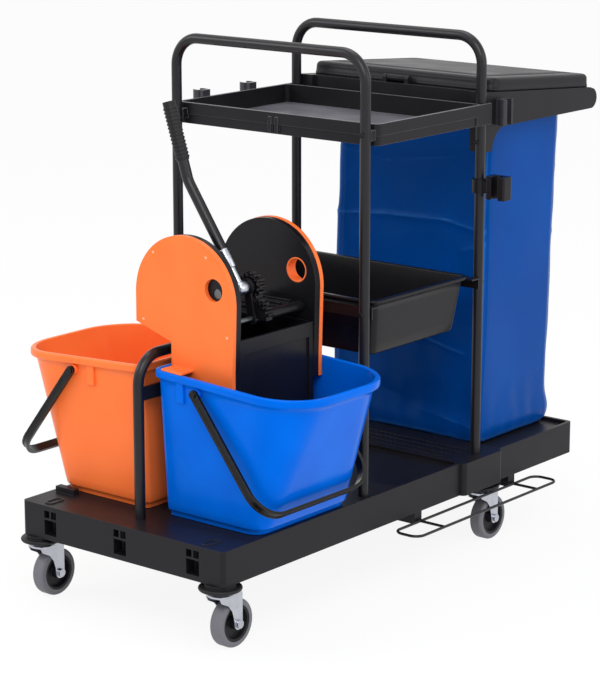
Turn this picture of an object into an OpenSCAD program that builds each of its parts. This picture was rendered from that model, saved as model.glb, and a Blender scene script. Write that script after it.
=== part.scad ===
// Janitor cart with two mop buckets, a geared press wringer, a tray, a tote and a bagged waste end.
// X runs from the bucket end to the bag end, Y across the cart, Z up from the floor.
// Distances along X are counted from the front face of the base and shifted to the middle at the end.

/* [Base] */
// Length of the base
base_len = 1233; // [1200:1:1280]
// Width of the base
base_wid = 550; // [530:1:590]
// Height of the base mouldings
base_h = 73; // [64:1:84]
// Height of the underside of the base above the floor
base_z = 140; // [136:1:156]
// Wall of the base mouldings
base_wall = 5; // [4:0.5:7]
// Thickness of the ribs under the base
rib_t = 4; // [3:0.5:6]
// Length of the bucket platform
platform_len = 552; // [536:1:572]
// Depth of the two deck trays
deck_sink = 8; // [4:1:12]
// Width of the rim round the deck trays
deck_rim = 8; // [6:1:14]
// Reach of a side pod in front of the rear legs
pod_fore = 86; // [70:1:100]
// Reach of a side pod behind the rear legs
pod_aft = 62; // [50:1:66]
// Stand-out of a side pod
pod_out = 12; // [6:1:18]
// Margin from the bucket feet to the side of the base
foot_margin = 4; // [3:1:10]
// Length of the bucket stop
stop_len = 16; // [12:1:22]
// Width of the bucket stop
stop_wid = 52; // [40:1:60]
// Height of the bucket stop
stop_h = 12; // [8:1:20]
// Width of an accessory slot in the front face
slot_wid = 34; // [26:1:44]
// Height of an accessory slot
slot_h = 52; // [44:1:58]
// Spacing of the accessory slots
slot_pitch = 195; // [170:1:210]

/* [Tube frames] */
// Diameter of the frame tubes
tube_d = 22; // [19:0.5:25]
// Wall of the frame tubes
tube_wall = 1.5; // [1:0.25:2.5]
// Centreline radius of the tube bends
bend_r = 60; // [45:1:80]
// Front frame, distance from the base front
front_u_x = 469; // [455:1:480]
// Rear frame, distance from the base front
rear_u_x = 873; // [850:1:890]
// Distance of the leg centres from the base side
leg_inset = 21; // [19:0.5:26]
// Height of the top bars above the floor
frame_top = 1131; // [1090:1:1180]
// Depth of the leg sockets
socket_depth = 40; // [30:1:50]
// Front leg of the divider hoop, distance from the base front
hoop_x = 62; // [50:1:74]
// Length of the divider hoop
hoop_len = 428; // [410:1:440]
// Height of the hoop bar above the floor
hoop_top = 548; // [530:1:552]
// Height of the hoop strap above the floor
strap_z = 470; // [430:1:490]
// Depth of the hoop strap
strap_h = 28; // [18:1:36]
// Thickness of the hoop strap
strap_t = 5; // [3:0.5:8]

/* [Top tray] */
// Drop of the tray underside below the top bars
tray_drop = 186; // [170:1:230]
// Depth of the tray
tray_h = 45; // [34:1:56]
// Wall of the tray
tray_wall = 4; // [3:0.5:6]
// Reach of the tray sides beyond the leg centres
tray_over = 18; // [16:0.5:26]
// Gap from the front tubes to the tray
tray_gap = 5; // [3:0.5:9]
// Corner radius of the tray
tray_r = 14; // [8:1:22]

/* [Tote] */
// Height of the tote rim above the floor
tote_top = 620; // [580:1:700]
// Depth of the tote
tote_h = 122; // [90:1:150]
// Reach of the tote sides beyond the leg centres
tote_over = 4; // [-14:1:12]
// Gap from the tubes to the tote rim
tote_gap = 18; // [14:1:26]
// Inward lean of each tote wall
tote_lean = 16; // [8:1:26]
// Wall of the tote
tote_wall = 3.5; // [2.5:0.5:5]
// Width of the tote rim flange
tote_rim = 10; // [8:1:14]
// Thickness of the tote rails
rail_t = 3; // [2:0.5:5]
// Depth of the web of a tote rail
rail_h = 24; // [18:1:34]

/* [Bag end] */
// Drop of the bag holder below the top bars
holder_drop = 120; // [100:1:140]
// Length of the bag holder
holder_len = 442; // [430:1:455]
// Reach of the bag holder beyond the leg centres
holder_over = 4; // [2:0.5:8]
// Width of the side rails of the bag holder
holder_rail = 40; // [30:1:48]
// Depth of the front rail of the bag holder
front_rail = 74; // [66:1:84]
// Height of the bag holder at its front edge
holder_h = 79; // [70:1:88]
// Drop of the corner gussets along the rear legs
gusset_h = 50; // [30:1:70]
// Diameter of the rear push bar
push_d = 46; // [36:1:52]
// Fall of the holder and lid toward the rear, in degrees
lid_fall = 4.3; // [2:0.1:6]
// Wall of the holder and lid
shell_t = 4; // [3:0.5:5]
// Length of the lid
lid_len = 393; // [360:1:400]
// Set-in of the lid from the sides of the holder
lid_in = 7; // [3:0.5:16]
// Height of the lid
lid_h = 31; // [24:1:36]
// Corner radius of the lid
lid_r = 26; // [16:1:40]
// Diameter of the lid hinge pin
hinge_pin_d = 6; // [4:0.5:8]
// Length of the bag along the cart
bag_len = 288; // [260:1:294]
// Gap from the side rails of the holder to the bag
bag_gap = 9; // [6:0.5:20]
// Wall of the bag with its stiffener
bag_wall = 3; // [2:0.5:4]
// Lean of the front of the bag at its foot
bag_lean = 25; // [10:1:28]
// Lean of the rear of the bag at its foot
bag_rear_lean = 38; // [34:1:46]

/* [Buckets] */
// Height of the buckets next to the hoop
bucket_h = 310; // [296:1:314]
// Front edge of the bucket rims, distance from the base front
bucket_x = 83; // [78:1:88]
// Length of the bucket rims
bucket_len = 338; // [334:1:342]
// Gap from the hoop to the bucket rims
rim_gap = 3; // [2:0.5:5]
// Lean of the front wall
lean_front = 20; // [14:1:26]
// Lean of the rear wall
lean_rear = 4; // [2:1:8]
// Lean of the wall next to the hoop
lean_in = 10; // [6:1:14]
// Lean of the outer wall
lean_out = 120; // [112:1:126]
// Wall of the buckets
bucket_wall = 4; // [3:0.5:5]
// Stand-out of the rolled rim
rim_w = 8; // [6:0.5:10]
// Depth of the rolled rim
rim_h = 16; // [10:1:22]
// Outer corner radius at the rim
rim_r = 104; // [90:1:112]
// Outer corner radius at the foot
foot_r = 36; // [28:1:42]
// Corner radius next to the hoop
inner_r = 16; // [14:0.5:18]
// Fall of the rim away from the hoop, in degrees
rim_fall = 3; // [2:0.25:3.5]
// Height of the recessed foot
foot_h = 14; // [8:1:20]
// Set-back of the recessed foot
foot_in = 5; // [3:0.5:8]

/* [Bails] */
// Length of the left bail beyond the outer rim edge
left_bail_over = 84.3; // [64:0.1:89]
// Length of the right bail beyond the outer rim edge
right_bail_over = 31.3; // [28.3:0.1:39]
// Width of a bail strap
bail_w = 18; // [14:1:22]
// Thickness of a bail strap
bail_t = 7; // [5:0.5:9]
// Corner radius of a bail
bail_r = 66; // [50:1:72]
// Diameter of the bail pivots
bail_pin_d = 8; // [6:0.5:10]
// Resting lean of the bails from plumb, in degrees
bail_lean = 38; // [37:1:41]
// Drop of the bail pivots below the rim
bail_drop = 28; // [24:1:36]
// Pivot of the left bail, distance from the hoop
left_bail_y = 205; // [190:1:210]
// Pivot of the right bail, distance from the hoop
right_bail_y = 132; // [130:1:140]

/* [Wringer] */
// Set-back of the wringer front from the bucket rim
wringer_set = 41; // [38:1:44]
// Thickness of a wringer side cover
cover_t = 10; // [8:0.5:12]
// Thickness of a wringer side frame
frame_t = 15; // [12:0.5:18]
// Width of the rounded wringer sides
side_wid = 258; // [250:1:264]
// Top of the wringer sides above the floor
side_top = 792; // [780:1:810]
// Reach of the wringer sides over the hoop
side_over = 60; // [50:1:66]
// Distance of the press chamber from the hoop
chamber_y = 34; // [33:0.5:40]
// Width of the press chamber
chamber_wid = 158; // [154:1:160]
// Top edge of the press chamber above the floor
chamber_top = 592; // [580:1:596]
// Depth of the press chamber
chamber_h = 240; // [200:1:250]
// Wall of the press chamber
chamber_wall = 4; // [3:0.5:6]
// Diameter of the hand holes
hand_d = 46; // [40:1:50]
// Lever shaft, distance from the hoop
shaft_y = 148; // [146:1:150]
// Lever shaft above the floor
shaft_z = 684; // [680:1:690]
// Diameter of the lever shaft
shaft_d = 20; // [16:1:22]
// Gear module of the press drive
gear_m = 4; // [3.8:0.1:4.2]
// Teeth of the lever pinion
pinion_n = 13; // [13:1:13]
// Teeth of the full press gear
press_n = 19; // [19:1:19]
// Face width of the press gears
gear_w = 18; // [14:1:22]
// Diameter of the press pivot rod
rod_d = 10; // [8:0.5:12]
// Length of the press jaw from its rod
jaw_len = 112; // [100:1:114]
// Thickness of the press jaw
jaw_t = 15; // [12:1:17]

/* [Lever] */
// Lever plane behind the front side frame
lever_in = 58; // [50:1:64]
// Lean of the lower lever at rest, in degrees
lever_lean = 34.5; // [30:0.5:38]
// Lean of the upper lever at rest, in degrees
grip_lean = 18; // [12:0.5:24]
// Length of the lower lever
lever_len = 244; // [220:1:260]
// Length of the upper lever
upper_len = 158; // [140:1:180]
// Length of the hand grip
grip_len = 116; // [90:1:120]
// Diameter of the lever shank
shank_d = 15; // [12:0.5:17]

/* [Casters] */
// Diameter of the wheels
wheel_d = 100; // [92:1:104]
// Width of the wheels
wheel_w = 30; // [24:1:34]
// Trail of the wheels behind their swivels
trail = 32; // [26:1:36]
// Front swivels, distance from the base front
front_caster_x = 25; // [22:1:32]
// Rear swivels, distance behind the rear legs
rear_caster_dx = 34; // [31:1:38]
// Distance of the swivels from the base side
caster_inset = 30; // [26:1:34]
// Diameter of the bumper discs
bumper_d = 88; // [78:1:94]
// Thickness of the bumper discs
bumper_t = 14; // [12:1:16]
// Thickness of the bumper discs at the rim
bumper_lip = 8; // [6:0.5:10]
// Diameter of the swivel pins
king_d = 12; // [10:0.5:13]
// Diameter of the axles
axle_d = 10; // [8:0.5:12]
// Thickness of the fork sheet
fork_t = 2.5; // [2:0.25:3.5]

/* [Side rack and clips] */
// Diameter of the rack wire
wire_d = 6; // [5:0.5:8]
// Start of the rack, distance from the base front
rack_x = 540; // [525:1:560]
// Length of the rack
rack_len = 530; // [500:1:545]
// Width of the rack
rack_wid = 64; // [54:1:76]
// Distance of the rack from the base side
rack_gap = 6; // [5:0.5:12]
// Corner radius of the rack
rack_r = 22; // [16:1:26]
// Bore of the tool clips
clip_d = 24; // [20:0.5:28]
// Wall of the tool clips
clip_t = 4; // [3:0.5:5]
// Height of the tray tool clips
clip_h = 42; // [30:1:50]
// Drop of the leg clip below the bag holder
leg_clip_drop = 120; // [90:1:170]

/* [Fits] */
// Clearance round tubes and pins that do not turn
fit = 0.15; // [0.1:0.05:0.25]
// Clearance at seats and running fits
run = 0.3; // [0.25:0.05:0.4]

/* [Hidden] */
$fn = 48;
hull_fn = 32;
eps = 0.01;
big = 400;

base_top = base_z + base_h;
leg_y = base_wid / 2 - leg_inset;
socket_floor = base_top - socket_depth;
seam = 0.2;
corner_r = 10;
socket_wall = 4;

tray_z = frame_top - tray_drop;
holder_top = frame_top - holder_drop;
holder_z = holder_top - holder_h;
holder_wid = 2 * (leg_y + holder_over);
lid_wid = holder_wid - 2 * lid_in;
tote_wid = 2 * (leg_y + tote_over);
leg_clip_z = holder_z - leg_clip_drop;

push_x = rear_u_x + tube_d / 2 + fit + holder_len - push_d / 2;
cart_front = front_caster_x - bumper_d / 2;
cart_rear = push_x + push_d / 2;
mid_x = (cart_front + cart_rear) / 2;

caster_y = base_wid / 2 - caster_inset;
rear_caster_x = rear_u_x + rear_caster_dx;
caster_xs = [front_caster_x, front_caster_x, rear_caster_x, rear_caster_x];
caster_sides = [1, -1, 1, -1];
race_h = 8.5;
crown_top = base_z - bumper_t - race_h - run;
crown_t = 4;
crown_d = 52;
cheek_r = axle_d / 2 + 7;
nut_h = 6;

foot_y0 = tube_d / 2 + rim_gap + lean_in;
foot_y1 = base_wid / 2 - foot_margin - run;
stop_x = bucket_x + lean_front - 1;
rim_y0 = tube_d / 2 + rim_gap;
rim_y1 = foot_y1 + lean_out;
left_reach = rim_y1 - left_bail_y + left_bail_over;
right_reach = rim_y1 - right_bail_y + right_bail_over;
bucket_z = base_top + run;
rim_z = bucket_z + bucket_h;
bucket_x1 = bucket_x + bucket_len;
bail_span = bucket_len + 2 * (bail_t + 2 * run);

side_x0 = bucket_x + wringer_set;
side_x1 = bucket_x1 - rim_w - bucket_wall - run - 3;
frame_x0 = side_x0 + cover_t;
frame_x1 = side_x1 - cover_t;
bay_x0 = frame_x0 + frame_t;
bay_x1 = frame_x1 - frame_t;
side_r = side_wid / 2;
side_mid = side_over - side_r;
side_z = side_top - side_r;
side_foot = rim_z - 48;
hand_y = shaft_y - 1;
hand_z = shaft_z + 9;
gear_gap = gear_m * (pinion_n + press_n) / 2;
drive_tilt = 10.8;
rod_y = shaft_y + gear_gap * sin(drive_tilt);
rod_z = shaft_z - gear_gap * cos(drive_tilt);
lever_x = bay_x0 + lever_in;
hub_d = shaft_d + 8;
hub_w = 26;
link_t = 6;
link_x = lever_x + hub_w / 2 + 2;
gear_x = link_x + link_t + 2;
shaft_end = gear_x + gear_w + 1;
sleeve_d = tube_d + 0.6;
shank_len = lever_len / 3;
plug_in = 12;
plug_len = 16;

tray_x0 = front_u_x + tube_d / 2 + tray_gap;
tray_x1 = rear_u_x - tube_d / 2 - tray_gap;
tray_half = leg_y + tray_over;
tote_x0 = front_u_x + tube_d / 2 + tote_gap;
tote_x1 = rear_u_x - tube_d / 2 - tote_gap;
tote_rim_h = 8;
bolt_d = 5;
tray_bolt_z = tray_z + tray_h / 2 + 2;
rail_bolt_z = tote_top - tote_rim_h - rail_h / 2;
gusset_bolt_z = holder_z - gusset_h / 2;

holder_x0 = rear_u_x + tube_d / 2 + fit;
bag_x0 = holder_x0 + front_rail;
bag_x1 = push_x - 28;
lid_x0 = holder_x0 + 38;
hinge_x = lid_x0 - 10;
hinge_z = holder_top - (hinge_x - holder_x0) * tan(lid_fall) + 10;
hinge_r = hinge_pin_d / 2 + 4.5;
bag_top = holder_z + 26;
bag_foot = base_top - deck_sink + run;
bag_wid = holder_wid - 2 * (holder_rail + bag_gap);
bag_front = (bag_x0 + bag_x1 - bag_len) / 2;
pod_x0 = rear_u_x - pod_fore;
pod_x1 = rear_u_x + pod_aft;
rear_tray_x = pod_x1 + 4;
bag_foot_x0 = max(bag_front - bag_lean, rear_tray_x + 3);
bag_foot_x1 = min(bag_front + bag_len - bag_rear_lean, base_len - deck_rim - 3);

rack_z = base_z - bumper_t - wire_d / 2 - 2;
rack_y = base_wid / 2 + rack_gap;
rack_arm_xs = [rack_x + rack_len * 0.18, rear_caster_x + bumper_d * 0.91];
rack_arm_in = 62;

// Height of the bucket rims at a distance y from the hoop, and of a bail pivot there
function rim_at(y) = rim_z - (y - rim_y0) * tan(rim_fall);
function bail_at(y) = rim_at(y) - bail_drop;

function holder_line(x) = holder_top - (x - holder_x0) * tan(lid_fall);

// Flank angle of an involute tooth at radius r, for n teeth at pressure angle pa and half width hw.
function inv_deg(a) = tan(a) * 180 / PI - a;
function flank(n, r, pa, hw) =
    hw + inv_deg(pa) - inv_deg(acos(min(1, gear_m * n / 2 * cos(pa) / r)));

// Outline points of the teeth first to last of an n tooth gear, tooth 0 centred on +X.
function tooth_points(n, first, last, pa = 25, slack = 0.35, add = 0.8, ded = 1.15) =
    let (rp = gear_m * n / 2,
         rb = rp * cos(pa),
         rr = rp - ded * gear_m,
         rt = rp + add * gear_m,
         hw = 90 / n - slack / rp * 90 / PI,
         r0 = max(rb, rr + 0.2),
         steps = 4)
    [for (i = [first:last], s = [-1, 1], k = [0:steps + 1])
        let (j = s < 0 ? k : steps + 1 - k,
             r = j == 0 ? rr : r0 + (rt - r0) * (j - 1) / steps,
             a = i * 360 / n + s * flank(n, max(r, r0), pa, hw))
        r * [cos(a), sin(a)]];

black = "#2e2d31";
tube_black = "#232326";
orange = "#f4692b";
blue = "#0a4fc4";
bag_blue = "#0b47a0";
zinc = "#b8bac2";
tread_grey = "#74737a";

// Shared shapes
module from_middle() {
    translate([-mid_x, 0, 0]) children();
}

module both_sides() {
    children();
    mirror([0, 1, 0]) children();
}

module rounded_rect(x, y, r) {
    square([x, y - 2 * r], center = true);
    square([x - 2 * r, y], center = true);
    for (i = [-1, 1], j = [-1, 1])
        translate([i * (x / 2 - r), j * (y / 2 - r)]) circle(r);
}

// A rounded rectangle given by its edges
module rounded_span(x0, x1, y0, y1, r) {
    translate([(x0 + x1) / 2, (y0 + y1) / 2]) rounded_rect(x1 - x0, y1 - y0, r);
}

// The same with one radius for the corners at y0 and another for those at y1
module corner_span(x0, x1, y0, y1, r0, r1) {
    polygon([[x0 + r0, y0], [x1 - r0, y0], [x1, y0 + r0], [x1, y1 - r1],
             [x1 - r1, y1], [x0 + r1, y1], [x0, y1 - r1], [x0, y0 + r0]]);
    for (x = [x0 + r0, x1 - r0]) translate([x, y0 + r0]) circle(r0);
    for (x = [x0 + r1, x1 - r1]) translate([x, y1 - r1]) circle(r1);
}

module span_block(x0, x1, y0, y1, z0, z1) {
    translate([x0, y0, z0]) cube([x1 - x0, y1 - y0, z1 - z0]);
}

module along_x(x0, x1, y, z, d) {
    translate([x0, y, z]) rotate([0, 90, 0]) cylinder(h = x1 - x0, d = d);
}

module along_y(y0, y1, x, z, d) {
    translate([x, y0, z]) rotate([-90, 0, 0]) cylinder(h = y1 - y0, d = d);
}

module tube_ring() {
    difference() {
        circle(d = tube_d);
        circle(d = tube_d - 2 * tube_wall);
    }
}

// Bent tube in the XZ plane: two legs standing on z = 0, joined by a bar at z = rise
module bent_tube(span, rise) {
    for (s = [-1, 1]) {
        translate([s * span / 2, 0, 0]) linear_extrude(rise - bend_r) tube_ring();
        translate([s * (span / 2 - bend_r), 0, rise - bend_r]) rotate([90, 0, 0])
            rotate([0, 0, s > 0 ? 0 : 90]) rotate_extrude(angle = 90) translate([bend_r, 0]) tube_ring();
    }
    translate([-(span / 2 - bend_r), 0, rise]) rotate([0, 90, 0])
        linear_extrude(span - 2 * bend_r) tube_ring();
}

// Tapered box between a foot outline and a rim outline
module taper(z0, z1) {
    hull() {
        translate([0, 0, z0]) linear_extrude(eps) children(0);
        translate([0, 0, z1 - eps]) linear_extrude(eps) children(1);
    }
}

// Base mouldings
module base_plan(x0, x1) {
    rounded_span(x0, x1, -base_wid / 2, base_wid / 2, corner_r);
}

module socket_boss(x, y, d) {
    translate([x, y, socket_floor - socket_wall])
        cylinder(h = socket_depth + socket_wall - deck_sink / 2, d = d + 2 * socket_wall);
}

module socket_bore(x, y, d) {
    translate([x, y, socket_floor]) cylinder(h = big, d = d + 2 * fit);
}

module caster_boss(x, y) {
    translate([x, y, base_z]) cylinder(h = base_h - base_wall, d = king_d + 30);
}

module caster_bore(x, y) {
    translate([x, y, base_z - 1]) cylinder(h = base_h - 12, d = king_d + 2 * fit);
}

module cross_ribs(x0, x1, count) {
    inner = base_wid / 2 - base_wall;
    pitch = (x1 - x0) / (count + 1);
    for (i = [1:count])
        span_block(x0 + i * pitch - rib_t / 2, x0 + i * pitch + rib_t / 2, -inner, inner,
                   base_z, base_top - base_wall - deck_sink + eps);
    for (f = [-0.6, -0.2, 0.2, 0.6])
        span_block(x0, x1, f * inner - rib_t / 2, f * inner + rib_t / 2,
                   base_z, base_top - base_wall - deck_sink + eps);
}

// Accessory slot: two small windows over a larger one
module accessory_slot(y) {
    z0 = base_z + (base_h - slot_h) / 2;
    lower = slot_h * 0.62;
    bar = 4;
    upper = slot_h - lower - bar;
    span_block(-1, base_wall + 1, y - slot_wid / 2, y + slot_wid / 2, z0, z0 + lower);
    for (s = [-1, 1])
        span_block(-1, base_wall + 1, y + s * (slot_wid + bar) / 4 - (slot_wid - bar) / 4,
                   y + s * (slot_wid + bar) / 4 + (slot_wid - bar) / 4,
                   z0 + lower + bar, z0 + lower + bar + upper);
}

module deck_oval(x, y) {
    translate([x, y, base_top - eps]) linear_extrude(2 + eps) difference() {
        rounded_rect(46, 24, 11.9);
        rounded_rect(36, 14, 6.9);
    }
}

module front_platform() color(black) from_middle() {
    inner = base_wid / 2 - base_wall;
    difference() {
        union() {
            difference() {
                translate([0, 0, base_z]) linear_extrude(base_h) union() {
                    base_plan(0, platform_len);
                    translate([platform_len - 2 * corner_r, -base_wid / 2]) square([2 * corner_r, base_wid]);
                }
                span_block(base_wall, platform_len - base_wall, -inner, inner, base_z - 1,
                           base_top - base_wall);
            }
            intersection() {
                cross_ribs(base_wall - eps, platform_len - base_wall + eps, 5);
                span_block(0, platform_len, -base_wid / 2, base_wid / 2, base_z + 6, base_top);
            }
            span_block(base_wall, platform_len - base_wall, -inner, inner,
                       base_top - base_wall - deck_sink, base_top - base_wall + eps);
            both_sides() {
                socket_boss(front_u_x, leg_y, tube_d);
                intersection() {
                    caster_boss(front_caster_x, caster_y);
                    span_block(0, platform_len, 0, base_wid / 2, base_z, base_top);
                }
                deck_oval(34, base_wid / 2 - 60);
            }
            socket_boss(hoop_x, 0, tube_d);
            socket_boss(hoop_x + hoop_len, 0, tube_d);
            span_block(stop_x - stop_len, stop_x, base_wid / 2 - 12 - stop_wid, base_wid / 2 - 12,
                       base_top - eps, base_top + stop_h);
        }
        both_sides() {
            socket_bore(front_u_x, leg_y, tube_d);
            caster_bore(front_caster_x, caster_y);
        }
        socket_bore(hoop_x, 0, tube_d);
        socket_bore(hoop_x + hoop_len, 0, tube_d);
        for (i = [-1:1]) accessory_slot(i * slot_pitch);
    }
}

module main_deck() color(black) from_middle() {
    inner = base_wid / 2 - base_wall;
    x0 = platform_len + seam;
    difference() {
        union() {
            difference() {
                translate([0, 0, base_z]) linear_extrude(base_h) union() {
                    base_plan(x0, base_len);
                    translate([x0, -base_wid / 2]) square([2 * corner_r, base_wid]);
                    rounded_span(pod_x0, pod_x1, -base_wid / 2 - pod_out, base_wid / 2 + pod_out, pod_out);
                }
                span_block(x0 + base_wall, base_len - base_wall, -inner, inner, base_z - 1,
                           base_top - base_wall - deck_sink);
            }
            intersection() {
                cross_ribs(x0 + base_wall - eps, base_len - base_wall + eps, 7);
                span_block(x0, base_len, -base_wid / 2, base_wid / 2, base_z + 6, base_top);
            }
            both_sides() {
                socket_boss(rear_u_x, leg_y, tube_d);
                caster_boss(rear_caster_x, caster_y);
            }
        }
        both_sides() {
            socket_bore(rear_u_x, leg_y, tube_d);
            caster_bore(rear_caster_x, caster_y);
        }
        translate([0, 0, base_top - deck_sink]) linear_extrude(big)
            rounded_span(x0 + deck_rim, pod_x0, -base_wid / 2 + deck_rim, base_wid / 2 - deck_rim, corner_r);
        translate([0, 0, base_top - deck_sink]) linear_extrude(big)
            rounded_span(rear_tray_x, base_len - deck_rim, -base_wid / 2 + deck_rim,
                         base_wid / 2 - deck_rim, corner_r);
        for (i = [0:3])
            span_block(pod_x0 + 16 + i * 26, pod_x0 + 24 + i * 26, -leg_y + 30, leg_y - 30,
                       base_top - 2, base_top + 1);
    }
}

// Tube frames
module u_frame(x, bolt_zs) difference() {
    translate([x, 0, socket_floor]) rotate([0, 0, 90]) bent_tube(2 * leg_y, frame_top - socket_floor);
    both_sides() for (z = bolt_zs) along_x(x - tube_d, x + tube_d, leg_y, z, bolt_d + 2 * fit);
}

module front_u_frame() color(tube_black) from_middle() u_frame(front_u_x, [tray_bolt_z, rail_bolt_z]);

module rear_u_frame() color(tube_black) from_middle() u_frame(rear_u_x, [rail_bolt_z, gusset_bolt_z]);

module divider_hoop() color(tube_black) from_middle()
    translate([hoop_x + hoop_len / 2, 0, socket_floor]) bent_tube(hoop_len, hoop_top - socket_floor);

module divider_strap() color(tube_black) from_middle() difference() {
    span_block(hoop_x, hoop_x + hoop_len, -strap_t / 2, strap_t / 2, strap_z - strap_h / 2, strap_z + strap_h / 2);
    for (x = [hoop_x, hoop_x + hoop_len])
        translate([x, 0, strap_z - strap_h]) cylinder(h = 2 * strap_h, d = tube_d + 2 * fit);
}

// Top tray
module top_tray() color(black) from_middle() {
    rim = 3;
    lip_h = tray_h * 0.55;
    saddle_z = tray_z + 12;
    difference() {
        union() {
            translate([0, 0, tray_z]) linear_extrude(tray_h)
                rounded_span(tray_x0 + rim, tray_x1, -tray_half + rim, tray_half - rim, tray_r);
            translate([0, 0, tray_z + tray_h - lip_h]) linear_extrude(lip_h)
                rounded_span(tray_x0, tray_x1, -tray_half, tray_half, tray_r);
            both_sides() {
                span_block(tray_x1 - tray_r - 8, rear_u_x + tube_d / 2 + 3, leg_y + tube_d / 2 + fit, tray_half,
                           tray_z, tray_z + tray_h);
                span_block(front_u_x + 2, tray_x0 + rim + eps, leg_y - 15, leg_y + 12,
                           saddle_z, tray_z + tray_h - 12);
                span_block(tray_x1 - eps, rear_u_x - 2, leg_y - 15, leg_y + 12, saddle_z, tray_z + tray_h - 12);
            }
            for (y = [-9, 9])
                span_block(tray_x0 - 2, tray_x0 + rim + eps, y - 4, y + 4, tray_z + 2, tray_z + tray_h * 0.8);
        }
        translate([0, 0, tray_z + tray_wall]) linear_extrude(big)
            rounded_span(tray_x0 + rim + tray_wall, tray_x1 - tray_wall, -tray_half + rim + tray_wall,
                         tray_half - rim - tray_wall, tray_r - tray_wall);
        both_sides() for (x = [front_u_x, rear_u_x])
            translate([x, leg_y, 0]) cylinder(h = 2 * frame_top, d = tube_d + 2 * fit);
    }
}

// A bolt through a leg along X, its head under x
module bolt_x(x, z, dir) {
    translate([x, leg_y, z]) rotate([0, 90 * dir, 0]) {
        cylinder(h = tube_d - 0.5, d = bolt_d);
        translate([0, 0, -4]) cylinder(h = 4, d = 2 * bolt_d);
    }
}

module frame_bolts() color(zinc) from_middle() both_sides() {
    bolt_x(front_u_x - tube_d / 2, tray_bolt_z, 1);
    bolt_x(front_u_x - tube_d / 2, rail_bolt_z, 1);
    bolt_x(rear_u_x + tube_d / 2, rail_bolt_z, -1);
    bolt_x(rear_u_x - tube_d / 2, gusset_bolt_z, 1);
}

// Spring clip with a vertical axis, open toward +Y, its back on y = 0
module spring_clip(bore, h) {
    outer = bore + 2 * clip_t;
    mid = outer / 2 + clip_t / 2;
    difference() {
        union() {
            translate([0, mid, 0]) cylinder(h = h, d = outer);
            span_block(-outer / 2 + 4, outer / 2 - 4, 0, mid - bore / 4, 0, h);
        }
        translate([0, mid, -1]) cylinder(h = h + 2, d = bore);
        translate([0, mid + bore * 0.3, -1]) linear_extrude(h + 2)
            polygon([[-bore * 0.36, 0], [bore * 0.36, 0], [bore, bore], [-bore, bore]]);
    }
}

module left_tool_clips() color(black) from_middle() for (f = [0.27, 0.69])
    translate([tray_x0 + f * (tray_x1 - tray_x0), tray_half, tray_z + tray_h - clip_h + 14])
        spring_clip(clip_d, clip_h);

module right_tool_clip() color(black) from_middle()
    translate([holder_x0 + 50, -holder_wid / 2, holder_z + 6])
        mirror([0, 1, 0]) spring_clip(clip_d, clip_h + 14);

module leg_clip() color(black) from_middle() {
    ring_d = tube_d + 12;
    box = 48;
    box_h = 50;
    difference() {
        union() {
            translate([rear_u_x, -leg_y, leg_clip_z - 15]) cylinder(h = 30, d = ring_d);
            span_block(rear_u_x - 8, rear_u_x + 8, -leg_y - ring_d / 2 - 12, -leg_y, leg_clip_z - 12,
                       leg_clip_z + 12);
            translate([0, 0, leg_clip_z - box_h / 2]) linear_extrude(box_h)
                rounded_span(rear_u_x - 16, rear_u_x + 16, -leg_y - ring_d / 2 - 8 - box,
                             -leg_y - ring_d / 2 - 8, 5);
        }
        translate([rear_u_x, -leg_y, 0]) cylinder(h = 2 * frame_top, d = tube_d + 2 * fit);
        translate([rear_u_x - 4, -leg_y - ring_d / 2 - 8 - box / 2, 0]) cylinder(h = 2 * frame_top, d = clip_d);
        span_block(rear_u_x - big, rear_u_x - 4, -leg_y - ring_d / 2 - 8 - box / 2 - clip_d * 0.36,
                   -leg_y - ring_d / 2 - 8 - box / 2 + clip_d * 0.36, 0, 2 * frame_top);
    }
}

// Tote and its rails
module tote_rail() {
    top = tote_top - tote_rim_h - run;
    reach = tote_gap + tote_rim - 1;
    translate([0, leg_y + tube_d / 2, 0]) rotate([90, 0, 0]) linear_extrude(2 * leg_y + tube_d) union() {
        translate([fit, top - rail_h]) square([rail_t, rail_h]);
        translate([fit, top - rail_t]) square([reach - fit, rail_t]);
    }
}

module tote_rails() color(tube_black) from_middle() {
    translate([front_u_x + tube_d / 2, 0, 0]) tote_rail();
    translate([rear_u_x - tube_d / 2, 0, 0]) mirror([1, 0, 0]) tote_rail();
}

module tote_outline(drop, wall) {
    in = tote_rim + drop + wall;
    rounded_span(tote_x0 + in, tote_x1 - in, -tote_wid / 2 + in, tote_wid / 2 - in, 18, $fn = hull_fn);
}

module tote() color(black) from_middle() {
    z0 = tote_top - tote_h;
    difference() {
        union() {
            taper(z0, tote_top) {
                tote_outline(tote_lean, 0);
                tote_outline(0, 0);
            }
            translate([0, 0, tote_top - tote_rim_h]) linear_extrude(tote_rim_h)
                rounded_span(tote_x0, tote_x1, -tote_wid / 2, tote_wid / 2, 18 + tote_rim);
        }
        taper(z0 + tote_wall, tote_top + 1) {
            tote_outline(tote_lean, tote_wall);
            tote_outline(0, tote_wall);
        }
    }
}

// Bag holder, lid and bag
module holder_side() {
    foot = holder_z - gusset_h;
    reach = 28;
    sweep = gusset_h;
    rotate([90, 0, 0]) linear_extrude(holder_rail) difference() {
        polygon([[holder_x0, foot], [holder_x0 + reach, foot], [holder_x0 + reach + sweep, holder_z],
                 [push_x, holder_z], [push_x, holder_line(push_x)], [holder_x0, holder_top]]);
        translate([holder_x0 + reach + sweep, foot]) circle(sweep);
    }
}

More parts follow.
